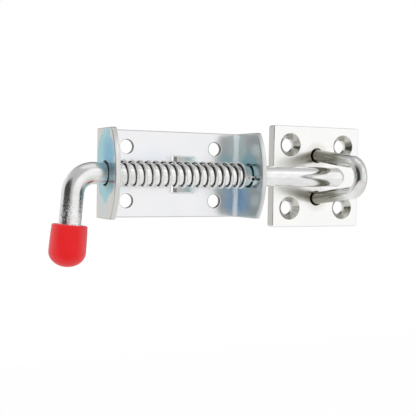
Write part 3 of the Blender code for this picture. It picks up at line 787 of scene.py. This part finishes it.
class SPRINGBOLT_OT_bracket(bpy.types.Operator):
    """Make the bracket: one strip of sheet with its holes, tongue and two folds."""
    bl_idname = "springbolt.bracket"
    bl_label = "Bracket"

    def execute(self, context):
        sizes = context.scene.spring_bolt_bracket
        sheet = FoldedSheet(sizes)
        profile = edge_profile(sizes.edge, sizes.edge, sizes.sheet)
        fine = edge_profile(FINE_EDGE, FINE_EDGE, sizes.sheet, TONGUE_EDGE_FLAT)
        stacks = [stack(blank_outline(sheet, sizes), profile), stack(tongue_slot(sheet), fine)]
        for along in (X_LEFT + SCREW_INSET, X_LEFT + SCREW_INSET + SCREW_PITCH_ALONG):
            for across in (-SCREW_PITCH_ACROSS / 2, SCREW_PITCH_ACROSS / 2):
                stacks.append(stack(circle(along, across, sizes.screw_hole / 2, HOLE_SIDES), profile))
        for side in (1, -1):
            stacks.append(stack(circle(sheet.flat(side, -AXIS_Y), 0, sizes.bore / 2, BORE_SIDES), profile))
        work = layered_plate(stacks, cut_shading=(OUTLINE_CUT_SHADE, 1.0))
        cut_shade_layer = work.verts.layers.float["cut_dull"]
        # The slot's ends at the tongue's root get no painted shade
        for vert in work.verts:
            if abs(vert.co.x - TONGUE_ROOT) < MM and abs(vert.co.y) < TONGUE_HALF + MM:
                vert[cut_shade_layer] = 0.0
        for cut in sheet.fold_cuts():
            geometry = list(work.verts) + list(work.edges) + list(work.faces)
            bmesh.ops.bisect_plane(work, geom=geometry, plane_co=(cut, 0, 0), plane_no=(1, 0, 0), dist=1e-6)
        for vert in work.verts:
            vert.co = sheet.fold(vert.co)
        piece = to_object(work, "bracket_folded")
        seat(piece, "bracket", "bracket", bracket_finish(context.scene.spring_bolt_finishes, sizes))
        return {"FINISHED"}


# ---- the bolt

PIN_X = 13.2 * MM
PIN_DROP = math.radians(12)
HANDLE_SETBACK = 6.6 * MM
HANDLE_BEND = 11.5 * MM
HANDLE_LEAN = math.radians(5)
HANDLE_LEG = 36.0 * MM
ROD_END_CHAMFER = 0.8 * MM
NOSE_FLAT = 2.0 * MM
PIN_GAP = 0.3 * MM
PIN_WALL = 0.6 * MM
PIN_SLOT = 0.7 * MM
PIN_END_ROUND, PIN_END_FLAT = 0.18 * MM, 0.03 * MM
NOSE_STEPS, BAR_STEPS, BEND_STEPS, LEG_STEPS = 14, 40, 32, 12
ROD_SIDES, PIN_HOLE_SIDES = 64, 40
PIN_OUTER_STEPS, PIN_INNER_STEPS = 48, 36


def leg_frame():
    """The start and the end of the handle's leg, and the way it runs."""
    turn = math.pi / 2 - HANDLE_LEAN
    down = Vector((-math.sin(HANDLE_LEAN), 0, -math.cos(HANDLE_LEAN)))
    start_x = X_LEFT - HANDLE_SETBACK - HANDLE_BEND * math.sin(turn)
    start = Vector((start_x, AXIS_Y, -HANDLE_BEND * (1 - math.cos(turn))))
    return start, start + down * HANDLE_LEG, down


def bolt_route(sizes):
    """Places along the bolt from its nose to the end of the handle, with the radius at each."""
    radius = sizes.rod / 2
    start = math.asin(NOSE_FLAT / radius)
    route = []
    for step in range(NOSE_STEPS + 1):
        angle = start + (math.pi / 2 - start) * step / NOSE_STEPS
        fall = math.cos(start) - math.cos(angle)
        x = ROD_HIGH.x - sizes.nose * fall / math.cos(start)
        route.append((Vector((x, AXIS_Y, 0)), radius * math.sin(angle)))
    first = route[-1][0].x
    bend_x = X_LEFT - HANDLE_SETBACK
    for step in range(1, BAR_STEPS + 1):
        route.append((Vector((first + (bend_x - first) * step / BAR_STEPS, AXIS_Y, 0)), radius))
    turn = math.pi / 2 - HANDLE_LEAN
    for step in range(1, BEND_STEPS + 1):
        angle = turn * step / BEND_STEPS
        x = bend_x - HANDLE_BEND * math.sin(angle)
        route.append((Vector((x, AXIS_Y, -HANDLE_BEND * (1 - math.cos(angle)))), radius))
    start, end, down = leg_frame()
    for step in range(1, LEG_STEPS + 1):
        route.append((start + down * (HANDLE_LEG - ROD_END_CHAMFER) * step / LEG_STEPS, radius))
    route.append((end, radius - ROD_END_CHAMFER))
    return route


def pin_direction():
    """The way the pin runs through the bar, a little below level towards the front."""
    return Vector((0, -math.cos(PIN_DROP), -math.sin(PIN_DROP)))


def pin_seat():
    """Turns what stands along Z into the pin's way, at the pin's middle."""
    turn = Vector((0, 0, 1)).rotation_difference(pin_direction()).to_matrix().to_4x4()
    return Matrix.Translation((PIN_X, AXIS_Y, 0)) @ turn


class SPRINGBOLT_OT_bolt(bpy.types.Operator):
    """Make the bolt: one round bar with its nose, its hole for the pin and its cranked handle."""
    bl_idname = "springbolt.bolt"
    bl_label = "Bolt"

    def execute(self, context):
        sizes = context.scene.spring_bolt_sizes
        route = bolt_route(sizes)
        work = tube([place for place, radius in route], [radius for place, radius in route], ROD_SIDES)
        piece = to_object(work, "bolt_bar")
        hole_work = bmesh.new()
        bmesh.ops.create_cone(
            hole_work, cap_ends=True, segments=PIN_HOLE_SIDES, radius1=sizes.pin / 2 + PIN_GAP,
            radius2=sizes.pin / 2 + PIN_GAP, depth=sizes.rod * 1.5
        )
        hole_work.transform(pin_seat())
        hole = to_object(hole_work, "bolt_pin_hole")
        cut = piece.modifiers.new("pin_hole", "BOOLEAN")
        cut.object = hole
        cut.solver = "EXACT"
        bake(piece)
        bpy.data.objects.remove(hole)
        shade(piece)
        tone = tuple(context.scene.spring_bolt_finishes.bar)
        finish = bar_finish("bar_zinc", tone, (0.66, 0.66, 0.63), 0.12, 0.24, pitted=(-10.0, -22.0))
        seat(piece, "bolt_rod", "bolt", finish)
        return {"FINISHED"}


class SPRINGBOLT_OT_pin(bpy.types.Operator):
    """Make the roll pin: a slotted tube with chamfered ends."""
    bl_idname = "springbolt.pin"
    bl_label = "Roll Pin"

    def execute(self, context):
        sizes = context.scene.spring_bolt_sizes
        radius = sizes.pin / 2
        inner = radius - PIN_WALL
        open_out = math.asin(PIN_SLOT / 2 / radius)
        open_in = math.asin(PIN_SLOT / 2 / inner)
        outline = arc(0, 0, radius, open_out, 2 * math.pi - open_out, PIN_OUTER_STEPS)
        outline += arc(0, 0, inner, 2 * math.pi - open_in, open_in, PIN_INNER_STEPS)
        wall = edge_profile(PIN_END_ROUND, PIN_END_ROUND, sizes.pin_length, PIN_END_FLAT)
        work = layered_plate([stack(outline, wall)])
        work.transform(pin_seat() @ Matrix.Translation((0, 0, -sizes.pin_length / 2)))
        piece = to_object(work, "slotted_pin")
        # The pin gets dark painted shade inside its bore and round its mouth
        finish = wire_finish(
            "pin_steel", (0.84, 0.84, 0.81), (0.60, 0.60, 0.56), pin_direction(),
            shade_fades_at=inner + 0.22 * MM, shade_full_at=inner + 0.14 * MM, metallic=0.35
        )
        seat(piece, "roll_pin", "bolt", finish)
        return {"FINISHED"}


# ---- the spring

SPRING_PLAY = 0.35 * MM
CLOSED_TURN_GAP = 0.12 * MM
POINTS_PER_TURN = 40
WIRE_SIDES = 20


def coil_tree():
    """Nodes that wind a wire: closed first and last turns, even turns between them."""
    tree = bpy.data.node_groups.new("wound_spring", "GeometryNodeTree")
    face = tree.interface
    sockets = {}
    for kind, names in (
        ("NodeSocketFloat", ("Start", "End", "Turns", "Coil Radius", "Wire Radius")),
        ("NodeSocketFloat", ("Closed Pitch", "Axis Y")),
        ("NodeSocketInt", ("Points", "Sides")),
        ("NodeSocketMaterial", ("Finish",)),
    ):
        for name in names:
            sockets[name] = face.new_socket(name=name, in_out="INPUT", socket_type=kind).identifier
    face.new_socket(name="Geometry", in_out="OUTPUT", socket_type="NodeSocketGeometry")
    add = partial(add_node, tree)

    def sum_of(operation, first, second=0.0):
        return add("ShaderNodeMath", {0: first, 1: second}, operation=operation).outputs[0]

    given_by = add("NodeGroupInput").outputs
    line = add("GeometryNodeCurvePrimitiveLine", {"End": (1, 0, 0)})
    fine = add("GeometryNodeResampleCurve", {"Curve": line.outputs[0], "Count": given_by["Points"]})
    share = add("GeometryNodeSplineParameter").outputs["Factor"]
    turn = sum_of("MULTIPLY", share, given_by["Turns"])
    last_open = sum_of("SUBTRACT", given_by["Turns"], 1.0)
    first_closed = sum_of("MINIMUM", turn, 1.0)
    last_closed = sum_of("MAXIMUM", sum_of("SUBTRACT", turn, last_open), 0.0)
    open_turns = sum_of("SUBTRACT", sum_of("SUBTRACT", turn, first_closed), last_closed)
    closed_run = sum_of("MULTIPLY", sum_of("ADD", first_closed, last_closed), given_by["Closed Pitch"])
    wire = sum_of("MULTIPLY", given_by["Wire Radius"], 2.0)
    length = sum_of("SUBTRACT", sum_of("SUBTRACT", given_by["End"], given_by["Start"]), wire)
    open_length = sum_of("SUBTRACT", length, sum_of("MULTIPLY", given_by["Closed Pitch"], 2.0))
    pitch = sum_of("DIVIDE", open_length, sum_of("SUBTRACT", given_by["Turns"], 2.0))
    run = sum_of("ADD", closed_run, sum_of("MULTIPLY", open_turns, pitch))
    x = sum_of("ADD", sum_of("ADD", given_by["Start"], given_by["Wire Radius"]), run)
    angle = sum_of("MULTIPLY", turn, 2 * math.pi)
    out = sum_of("MULTIPLY", sum_of("SINE", angle), given_by["Coil Radius"])
    y = sum_of("SUBTRACT", given_by["Axis Y"], out)
    z = sum_of("MULTIPLY", sum_of("COSINE", angle), given_by["Coil Radius"])
    place = add("ShaderNodeCombineXYZ", {0: x, 1: y, 2: z}).outputs[0]
    wound = add("GeometryNodeSetPosition", {"Geometry": fine.outputs[0], "Position": place})
    ring_sizes = {"Resolution": given_by["Sides"], "Radius": given_by["Wire Radius"]}
    ring = add("GeometryNodeCurvePrimitiveCircle", ring_sizes)
    curves = {"Curve": wound.outputs[0], "Profile Curve": ring.outputs[0], "Fill Caps": True}
    swept = add("GeometryNodeCurveToMesh", curves)
    smooth = add("GeometryNodeSetShadeSmooth", {"Geometry": swept.outputs[0], "Shade Smooth": True})
    real = add("GeometryNodeRealizeInstances", {"Geometry": smooth.outputs[0]})
    coated = add("GeometryNodeSetMaterial", {"Geometry": real.outputs[0], "Material": given_by["Finish"]})
    add("NodeGroupOutput", {0: coated.outputs[0]})
    return tree, sockets


class SPRINGBOLT_OT_spring(bpy.types.Operator):
    """Wind the compression spring round the bolt."""
    bl_idname = "springbolt.spring"
    bl_label = "Spring"

    def execute(self, context):
        sizes = context.scene.spring_bolt_sizes
        coil_radius = sizes.rod / 2 + SPRING_PLAY + sizes.wire / 2
        tone = tuple(context.scene.spring_bolt_finishes.wire)
        # The spring gets dark painted shade on the side of its wire towards the bar
        finish = wire_finish(
            "spring_zinc", tone, (0.74, 0.74, 0.72), (1, 0, 0),
            shade_fades_at=coil_radius + sizes.wire * 0.08, shade_full_at=coil_radius - sizes.wire * 0.2
        )
        piece = bpy.data.objects.new("wound_spring", bpy.data.meshes.new("wound_spring"))
        context.scene.collection.objects.link(piece)
        tree, sockets = coil_tree()
        winding = piece.modifiers.new("winding", "NODES")
        winding.node_group = tree
        values = {
            "Start": SPRING_LOW.x, "End": SPRING_HIGH.x, "Turns": float(sizes.turns),
            "Coil Radius": coil_radius, "Wire Radius": sizes.wire / 2,
            "Closed Pitch": sizes.wire + CLOSED_TURN_GAP, "Axis Y": AXIS_Y,
            "Points": sizes.turns * POINTS_PER_TURN + 1, "Sides": WIRE_SIDES, "Finish": finish,
        }
        for name, value in values.items():
            winding[sockets[name]] = value
        bake(piece)
        work = bmesh.new()
        work.from_mesh(piece.data)
        bmesh.ops.remove_doubles(work, verts=work.verts, dist=TOUCHING)
        bmesh.ops.recalc_face_normals(work, faces=work.faces)
        work.to_mesh(piece.data)
        work.free()
        shade(piece)
        seat(piece, "spring", "spring", finish)
        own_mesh(piece)
        return {"FINISHED"}


# ---- the cap

CAP_COVER = 18.5 * MM
CAP_END_WALL = 3.97 * MM
CAP_DOME = 8.1 * MM
CAP_TOP_RADIUS = 9.6 * MM
CAP_SWELL = 0.41 * MM
CAP_RIM_ROUND = 0.9 * MM
CAP_GAP = 0.3 * MM
CAP_BORE_ROUND = 0.2 * MM
# The bore's flare at the rim: how much wider, and how far below the rim
CAP_FLARE = ((0.0, 0.8 * MM), (0.12 * MM, 0.3 * MM), (0.45 * MM, 0.0))
CAP_SIDE_STEPS, CAP_DOME_STEPS, CAP_RIM_STEPS = 20, 24, 10
CAP_SIDES = 96


class SPRINGBOLT_OT_cap(bpy.types.Operator):
    """Make the moulded cap on the end of the handle."""
    bl_idname = "springbolt.cap"
    bl_label = "Cap"

    def execute(self, context):
        bore = context.scene.spring_bolt_sizes.rod / 2 + CAP_GAP
        side_top = CAP_COVER - CAP_RIM_ROUND
        tip = -CAP_END_WALL - CAP_GAP
        dome_top = tip + CAP_DOME
        dome_radius = CAP_TOP_RADIUS + CAP_SWELL
        profile = [(0, -CAP_GAP), (bore - CAP_BORE_ROUND, -CAP_GAP), (bore, CAP_BORE_ROUND - CAP_GAP)]
        profile += [(bore + wider, CAP_COVER - below) for wider, below in CAP_FLARE]
        rim = arc(CAP_TOP_RADIUS - CAP_RIM_ROUND, side_top, CAP_RIM_ROUND, math.pi / 2, 0, CAP_RIM_STEPS)
        profile += [tuple(point) for point in rim]
        for step in range(1, CAP_SIDE_STEPS + 1):
            share = step / CAP_SIDE_STEPS
            swell = CAP_SWELL * math.sin(math.pi / 2 * share)
            profile.append((CAP_TOP_RADIUS + swell, side_top + (dome_top - side_top) * share))
        for step in range(1, CAP_DOME_STEPS):
            angle = math.pi / 2 * step / CAP_DOME_STEPS
            profile.append((dome_radius * math.cos(angle), dome_top - CAP_DOME * math.sin(angle)))
        profile.append((0, tip))
        work = turned(profile, CAP_SIDES)
        end, down = leg_frame()[1:]
        turn = Vector((0, 0, 1)).rotation_difference(-down).to_matrix().to_4x4()
        work.transform(Matrix.Translation(end) @ turn)
        piece = to_object(work, "red_cap")
        seat(piece, "handle_cap", "bolt", cap_finish(context.scene.spring_bolt_finishes))
        return {"FINISHED"}


# ---- the keeper

KEEPER_CORNER = 1.5 * MM
KEEPER_EDGE = 0.5 * MM
KEEPER_BACK_EDGE = 0.15 * MM
KEEPER_SINK_DEPTH = 3.6 * MM
STAPLE_FOOT_PITCH = 26.9 * MM
STAPLE_LEAN = math.radians(6.6)
STAPLE_HOLE_PLAY = 0.45 * MM
FOOT_SHADE_AND_REFLECTION_RADIUS = 4.65 * MM
STAPLE_FOOT_INSET = 0.5 * MM
STAPLE_END_CHAMFER = 0.3 * MM
# How much of the way to the crown a leg's own points take up
STAPLE_LEG_SHARE = 0.97
STAPLE_LEG_STEPS, STAPLE_CROWN_STEPS = 14, 48
# The face that a hole's wall keeps round it, so that the fill starts flat
HOLE_LIP = 0.4 * MM
KEEPER_CORNER_STEPS = 6
SINK_SIDES, STAPLE_SIDES = 72, 48


def sunk_hole(centre_x, centre_z, sizes, thickness):
    """Rings of a countersunk hole, from the plate's front to its back."""
    bore, mouth, edge = sizes.hole / 2, sizes.countersink / 2, FINE_EDGE
    deep = KEEPER_SINK_DEPTH
    rows = [(mouth + HOLE_LIP, 0), (mouth + edge, 0)]
    rows += [(mouth + edge * 0.3, edge * 0.3), (mouth - edge * 0.8, edge)]
    rows += [(mouth + (bore - mouth) * share, deep * share) for share in (0.1, 0.4, 0.7, 0.94)]
    rows += [(bore, deep), (bore, deep + 0.2 * MM), (bore, thickness - 0.2 * MM)]
    rows += [(bore + edge, thickness), (bore + HOLE_LIP, thickness)]
    rings = [(circle(centre_x, centre_z, radius, SINK_SIDES), depth) for radius, depth in rows]
    return [[(*point, depth) for point in ring] for ring, depth in rings]


def staple_hole(up, sizes, thickness):
    """Rings of the leaning hole that takes one leg of the staple."""
    radius = sizes.staple / 2 + STAPLE_HOLE_PLAY
    rows = [(radius + HOLE_LIP, 0), (radius + FINE_EDGE, 0), (radius, FINE_EDGE)]
    rows += [(radius, thickness - FINE_EDGE), (radius + FINE_EDGE, thickness), (radius + HOLE_LIP, thickness)]
    rings = []
    for ring_radius, deep in rows:
        centre = up * (STAPLE_FOOT_PITCH / 2 + deep * math.tan(STAPLE_LEAN))
        ring = circle(KEEPER_X, centre, ring_radius, HOLE_SIDES)
        rings.append([(*point, deep) for point in ring])
    return rings


class SPRINGBOLT_OT_keeper_plate(bpy.types.Operator):
    """Make the keeper plate with its countersunk holes."""
    bl_idname = "springbolt.keeper_plate"
    bl_label = "Keeper Plate"

    def execute(self, context):
        sizes = context.scene.spring_bolt_keeper
        thickness = -KEEPER_FRONT
        half, corner = KEEPER_HALF, KEEPER_CORNER
        outline = []
        for side, up, start in ((1, 1, 0), (-1, 1, 90), (-1, -1, 180), (1, -1, 270)):
            turn = math.radians(start)
            x, z = KEEPER_X + side * (half - corner), up * (half - corner)
            outline += arc(x, z, corner, turn, turn + math.pi / 2, KEEPER_CORNER_STEPS)
        stacks = [stack(outline, edge_profile(KEEPER_EDGE, KEEPER_BACK_EDGE, thickness))]
        for side in (-1, 1):
            for up in (-1, 1):
                x, z = KEEPER_X + side * sizes.pitch / 2, up * sizes.pitch / 2
                stacks.append(sunk_hole(x, z, sizes, thickness))
        stacks += [staple_hole(up, sizes, thickness) for up in (-1, 1)]
        work = layered_plate(stacks)
        for vert in work.verts:
            along, up, deep = vert.co
            vert.co = (along, KEEPER_FRONT + deep, up)
        piece = to_object(work, "keeper_square")
        seat(piece, "keeper_plate", "bracket", keeper_finish(context.scene.spring_bolt_finishes, sizes))
        return {"FINISHED"}


class SPRINGBOLT_OT_staple(bpy.types.Operator):
    """Bend the keeper's staple from round bar."""
    bl_idname = "springbolt.staple"
    bl_label = "Staple"

    def execute(self, context):
        sizes = context.scene.spring_bolt_keeper
        thickness = -KEEPER_FRONT
        half_pitch = STAPLE_FOOT_PITCH / 2
        depth = -STAPLE_LOW.y - thickness - sizes.staple / 2
        crown_depth = (depth - half_pitch * math.cos(STAPLE_LEAN)) / (1 - math.sin(STAPLE_LEAN))
        radius = depth - crown_depth
        centre_y = KEEPER_FRONT - crown_depth
        inside = (thickness - STAPLE_FOOT_INSET) / math.cos(STAPLE_LEAN)

        def leg(up):
            """The leg's points from the plate's front outwards, its end in the plate, and its way."""
            foot = Vector((KEEPER_X, KEEPER_FRONT, up * half_pitch))
            direction = Vector((0, -math.cos(STAPLE_LEAN), -up * math.sin(STAPLE_LEAN)))
            run = (Vector((KEEPER_X, centre_y, up * radius)) - foot).length * STAPLE_LEG_SHARE
            shares = [step / STAPLE_LEG_STEPS for step in range(STAPLE_LEG_STEPS)]
            points = [foot + direction * (share * run) for share in shares]
            return points, foot - direction * inside, direction

        rising, start, direction = leg(1)
        falling, end, direction_back = leg(-1)
        crown = []
        for step in range(STAPLE_CROWN_STEPS + 1):
            angle = STAPLE_LEAN + (math.pi - 2 * STAPLE_LEAN) * step / STAPLE_CROWN_STEPS
            crown.append(Vector((KEEPER_X, centre_y - radius * math.sin(angle), radius * math.cos(angle))))
        chamfer = STAPLE_END_CHAMFER
        route = [start, start + direction * chamfer] + rising + crown + list(reversed(falling))
        route += [end + direction_back * chamfer, end]
        radii = [sizes.staple / 2] * len(route)
        radii[0] = radii[-1] = sizes.staple / 2 - chamfer
        piece = to_object(tube(route, radii, STAPLE_SIDES), "bent_staple")
        tone = tuple(context.scene.spring_bolt_finishes.staple)
        finish = bar_finish("staple_zinc", tone, (0.29, 0.28, 0.22), 0.10, 0.20, darker_towards_door=(-42.0, -28.0))
        seat(piece, "keeper_staple", "bracket", finish)
        return {"FINISHED"}


# ---- the stage

CAMERA_YAW = math.radians(26.0)
CAMERA_PITCH = math.radians(2.14)
CAMERA_ROLL = math.radians(0.95)
CAMERA_FOCAL_PIXELS = 843.3
CAMERA_DISTANCE = 0.4972
CAMERA_TARGET = Vector((-7.29 * MM, -10 * MM, -19.41 * MM))
PICTURE_PIXELS = 416
SENSOR_WIDTH = 36
FLOOR_DROP = 0.42
FLOOR_HALF = 1.6
FLOOR_TONE = (0.82, 0.82, 0.82)
# How white the floor is seen straight and in the metal
FLOOR_SEEN = 0.97
FLOOR_MIRRORED = 0.35

# Soft square lamps: name, azimuth, elevation, distance, width, power
LAMPS = (
    ("key_lamp", 34, 52, 1.2, 1.0, 0.6),
    ("top_lamp", 10, 88, 1.2, 0.8, 0.6),
)

# What the metal mirrors, as soft round areas: (azimuth from the front towards +X, elevation),
# half width in full, half width where it ends (degrees), and level
AROUND = (
    ((90, 0), 40, 70, 0.60),
    ((30, 0), 32, 58, 0.98),
    ((-78, 0), 30, 46, 0.05),
    ((163, 0), 28, 50, 0.08),
    ((-152, 0), 24, 44, 0.80),
)
# The mirrored level elsewhere, and the level that lights all but mirrors
LEVEL_ELSEWHERE = 0.50
LEVEL_PLAIN = 0.92


def add_camera():
    """A long lens from the left front, a little above and slightly rolled."""
    forward = Vector((
        math.sin(CAMERA_YAW) * math.cos(CAMERA_PITCH),
        math.cos(CAMERA_YAW) * math.cos(CAMERA_PITCH),
        -math.sin(CAMERA_PITCH),
    ))
    right = Vector((math.cos(CAMERA_YAW), -math.sin(CAMERA_YAW), 0))
    up = right.cross(forward)
    right_rolled = right * math.cos(CAMERA_ROLL) + up * math.sin(CAMERA_ROLL)
    up_rolled = up * math.cos(CAMERA_ROLL) - right * math.sin(CAMERA_ROLL)
    data = bpy.data.cameras.new("camera")
    data.sensor_width = SENSOR_WIDTH
    data.lens = CAMERA_FOCAL_PIXELS * SENSOR_WIDTH / PICTURE_PIXELS
    camera = bpy.data.objects.new("camera", data)
    camera.matrix_world = Matrix.Translation(CAMERA_TARGET - forward * CAMERA_DISTANCE) @ Matrix((
        (right_rolled.x, up_rolled.x, -forward.x, 0),
        (right_rolled.y, up_rolled.y, -forward.y, 0),
        (right_rolled.z, up_rolled.z, -forward.z, 0),
        (0, 0, 0, 1),
    ))
    bpy.context.scene.collection.objects.link(camera)
    bpy.context.scene.camera = camera


def compass(azimuth, elevation):
    """The direction at an azimuth from the front (-Y) towards +X and an elevation, in degrees."""
    a, e = math.radians(azimuth), math.radians(elevation)
    return Vector((math.sin(a) * math.cos(e), -math.cos(a) * math.cos(e), math.sin(e)))


def add_lamp(name, azimuth, elevation, distance, size, power):
    """A soft square lamp that shines on the part's origin."""
    data = bpy.data.lights.new(name, "AREA")
    data.shape = "SQUARE"
    data.size = size
    data.energy = power
    lamp = bpy.data.objects.new(name, data)
    direction = compass(azimuth, elevation)
    lamp.location = direction * distance
    lamp.rotation_mode = "QUATERNION"
    lamp.rotation_quaternion = direction.to_track_quat("Z", "Y")
    bpy.context.scene.collection.objects.link(lamp)


def light_world(scene):
    """Even soft light. Seen straight it is white, and the metal mirrors white walls with dim gaps."""
    world = bpy.data.worlds.new("studio")
    scene.world = world
    world.use_nodes = True
    world.node_tree.nodes.clear()
    add = partial(add_node, world.node_tree)

    direction = add("ShaderNodeTexCoord").outputs["Generated"]
    level = LEVEL_ELSEWHERE
    for (azimuth, elevation), inner, outer, strength in AROUND:
        both = {0: direction, 1: compass(azimuth, elevation)}
        towards = add("ShaderNodeVectorMath", both, operation="DOT_PRODUCT").outputs["Value"]
        ends = {1: math.cos(math.radians(outer)), 2: math.cos(math.radians(inner)), 3: 0.0, 4: 1.0}
        near = add("ShaderNodeMapRange", {0: towards, **ends}, interpolation_type="SMOOTHSTEP").outputs[0]
        level = add("ShaderNodeMix", {0: near, 2: level, 3: strength}, data_type="FLOAT").outputs[0]
    path = add("ShaderNodeLightPath").outputs
    plain, walls, white = [
        add("ShaderNodeBackground", {"Color": (1, 1, 1, 1), "Strength": strength}).outputs[0]
        for strength in (LEVEL_PLAIN, level, 1.0)
    ]
    lit = add("ShaderNodeMixShader", {0: path["Is Glossy Ray"], 1: plain, 2: walls}).outputs[0]
    rays = {0: path["Is Camera Ray"], 1: path["Is Transmission Ray"]}
    straight = add("ShaderNodeMath", rays, operation="MAXIMUM").outputs[0]
    seen = add("ShaderNodeMixShader", {0: straight, 1: lit, 2: white}).outputs[0]
    add("ShaderNodeOutputWorld", {"Surface": seen})


def add_floor():
    """A plain pale floor. Seen straight it is white, and it keeps the part's shadow."""
    mesh = bpy.data.meshes.new("floor")
    work = bmesh.new()
    bmesh.ops.create_grid(work, x_segments=1, y_segments=1, size=FLOOR_HALF)
    work.to_mesh(mesh)
    work.free()
    floor = bpy.data.objects.new("floor", mesh)
    floor.location = (0, 0, CAD_LOW.z - FLOOR_DROP)
    bpy.context.scene.collection.objects.link(floor)
    finish = Finish("pale_floor", 0.0)
    finish.shader.inputs["Base Color"].default_value = (*FLOOR_TONE, 1)
    finish.shader.inputs["Roughness"].default_value = 0.9
    finish.shader.inputs["Specular IOR Level"].default_value = 0.1
    path = finish.add("ShaderNodeLightPath").outputs
    seen = finish.math("MULTIPLY", path["Is Camera Ray"], FLOOR_SEEN)
    mirrored = finish.math("MULTIPLY", path["Is Glossy Ray"], FLOOR_MIRRORED)
    white = finish.add("ShaderNodeEmission").outputs[0]
    blend = {0: finish.math("ADD", seen, mirrored), 1: finish.shader.outputs[0], 2: white}
    blended = finish.add("ShaderNodeMixShader", blend).outputs[0]
    finish.tree.links.new(blended, finish.tree.nodes["Material Output"].inputs["Surface"])
    mesh.materials.append(finish.material)


class SPRINGBOLT_OT_stage(bpy.types.Operator):
    """Set the camera, the lamps and the plain pale floor."""
    bl_idname = "springbolt.stage"
    bl_label = "Stage"

    def execute(self, context):
        scene = context.scene
        scene.view_settings.view_transform = "Standard"
        light_world(scene)
        for lamp in LAMPS:
            add_lamp(*lamp)
        add_floor()
        add_camera()
        return {"FINISHED"}


# ---- the panel and the run

STEPS = ("bracket", "bolt", "pin", "spring", "cap", "keeper_plate", "staple", "stage")


class SPRINGBOLT_PT_panel(bpy.types.Panel):
    """Sizes, colours and one button for each piece."""
    bl_label = "Spring Bolt"
    bl_idname = "SPRINGBOLT_PT_panel"
    bl_space_type = "VIEW_3D"
    bl_region_type = "UI"
    bl_category = "Spring Bolt"

    def draw(self, context):
        scene = context.scene
        for title, group in (
            ("Bracket", scene.spring_bolt_bracket), ("Bolt", scene.spring_bolt_sizes),
            ("Keeper", scene.spring_bolt_keeper), ("Finishes", scene.spring_bolt_finishes),
        ):
            box = self.layout.box()
            box.label(text=title)
            for name in group.__annotations__:
                box.prop(group, name)
        for step in STEPS:
            self.layout.operator("springbolt." + step)


CLASSES = (
    BracketSizes, BoltSizes, KeeperSizes, Finishes,
    SPRINGBOLT_OT_bracket, SPRINGBOLT_OT_bolt, SPRINGBOLT_OT_pin, SPRINGBOLT_OT_spring, SPRINGBOLT_OT_cap,
    SPRINGBOLT_OT_keeper_plate, SPRINGBOLT_OT_staple, SPRINGBOLT_OT_stage, SPRINGBOLT_PT_panel,
)
GROUPS = {
    "spring_bolt_bracket": BracketSizes, "spring_bolt_sizes": BoltSizes,
    "spring_bolt_keeper": KeeperSizes, "spring_bolt_finishes": Finishes,
}


def register():
    for item in CLASSES:
        bpy.utils.register_class(item)
    for name, group in GROUPS.items():
        setattr(bpy.types.Scene, name, PointerProperty(type=group))


def unregister():
    for name in GROUPS:
        delattr(bpy.types.Scene, name)
    for item in reversed(CLASSES):
        bpy.utils.unregister_class(item)


def main():
    """Builds every piece and the stage."""
    register()
    for thing in [item for item in bpy.data.objects if item.type in {"CAMERA", "LIGHT"}]:
        bpy.data.objects.remove(thing)
    for step in STEPS:
        getattr(bpy.ops.springbolt, step)()


if __name__ == "__main__":
    main()
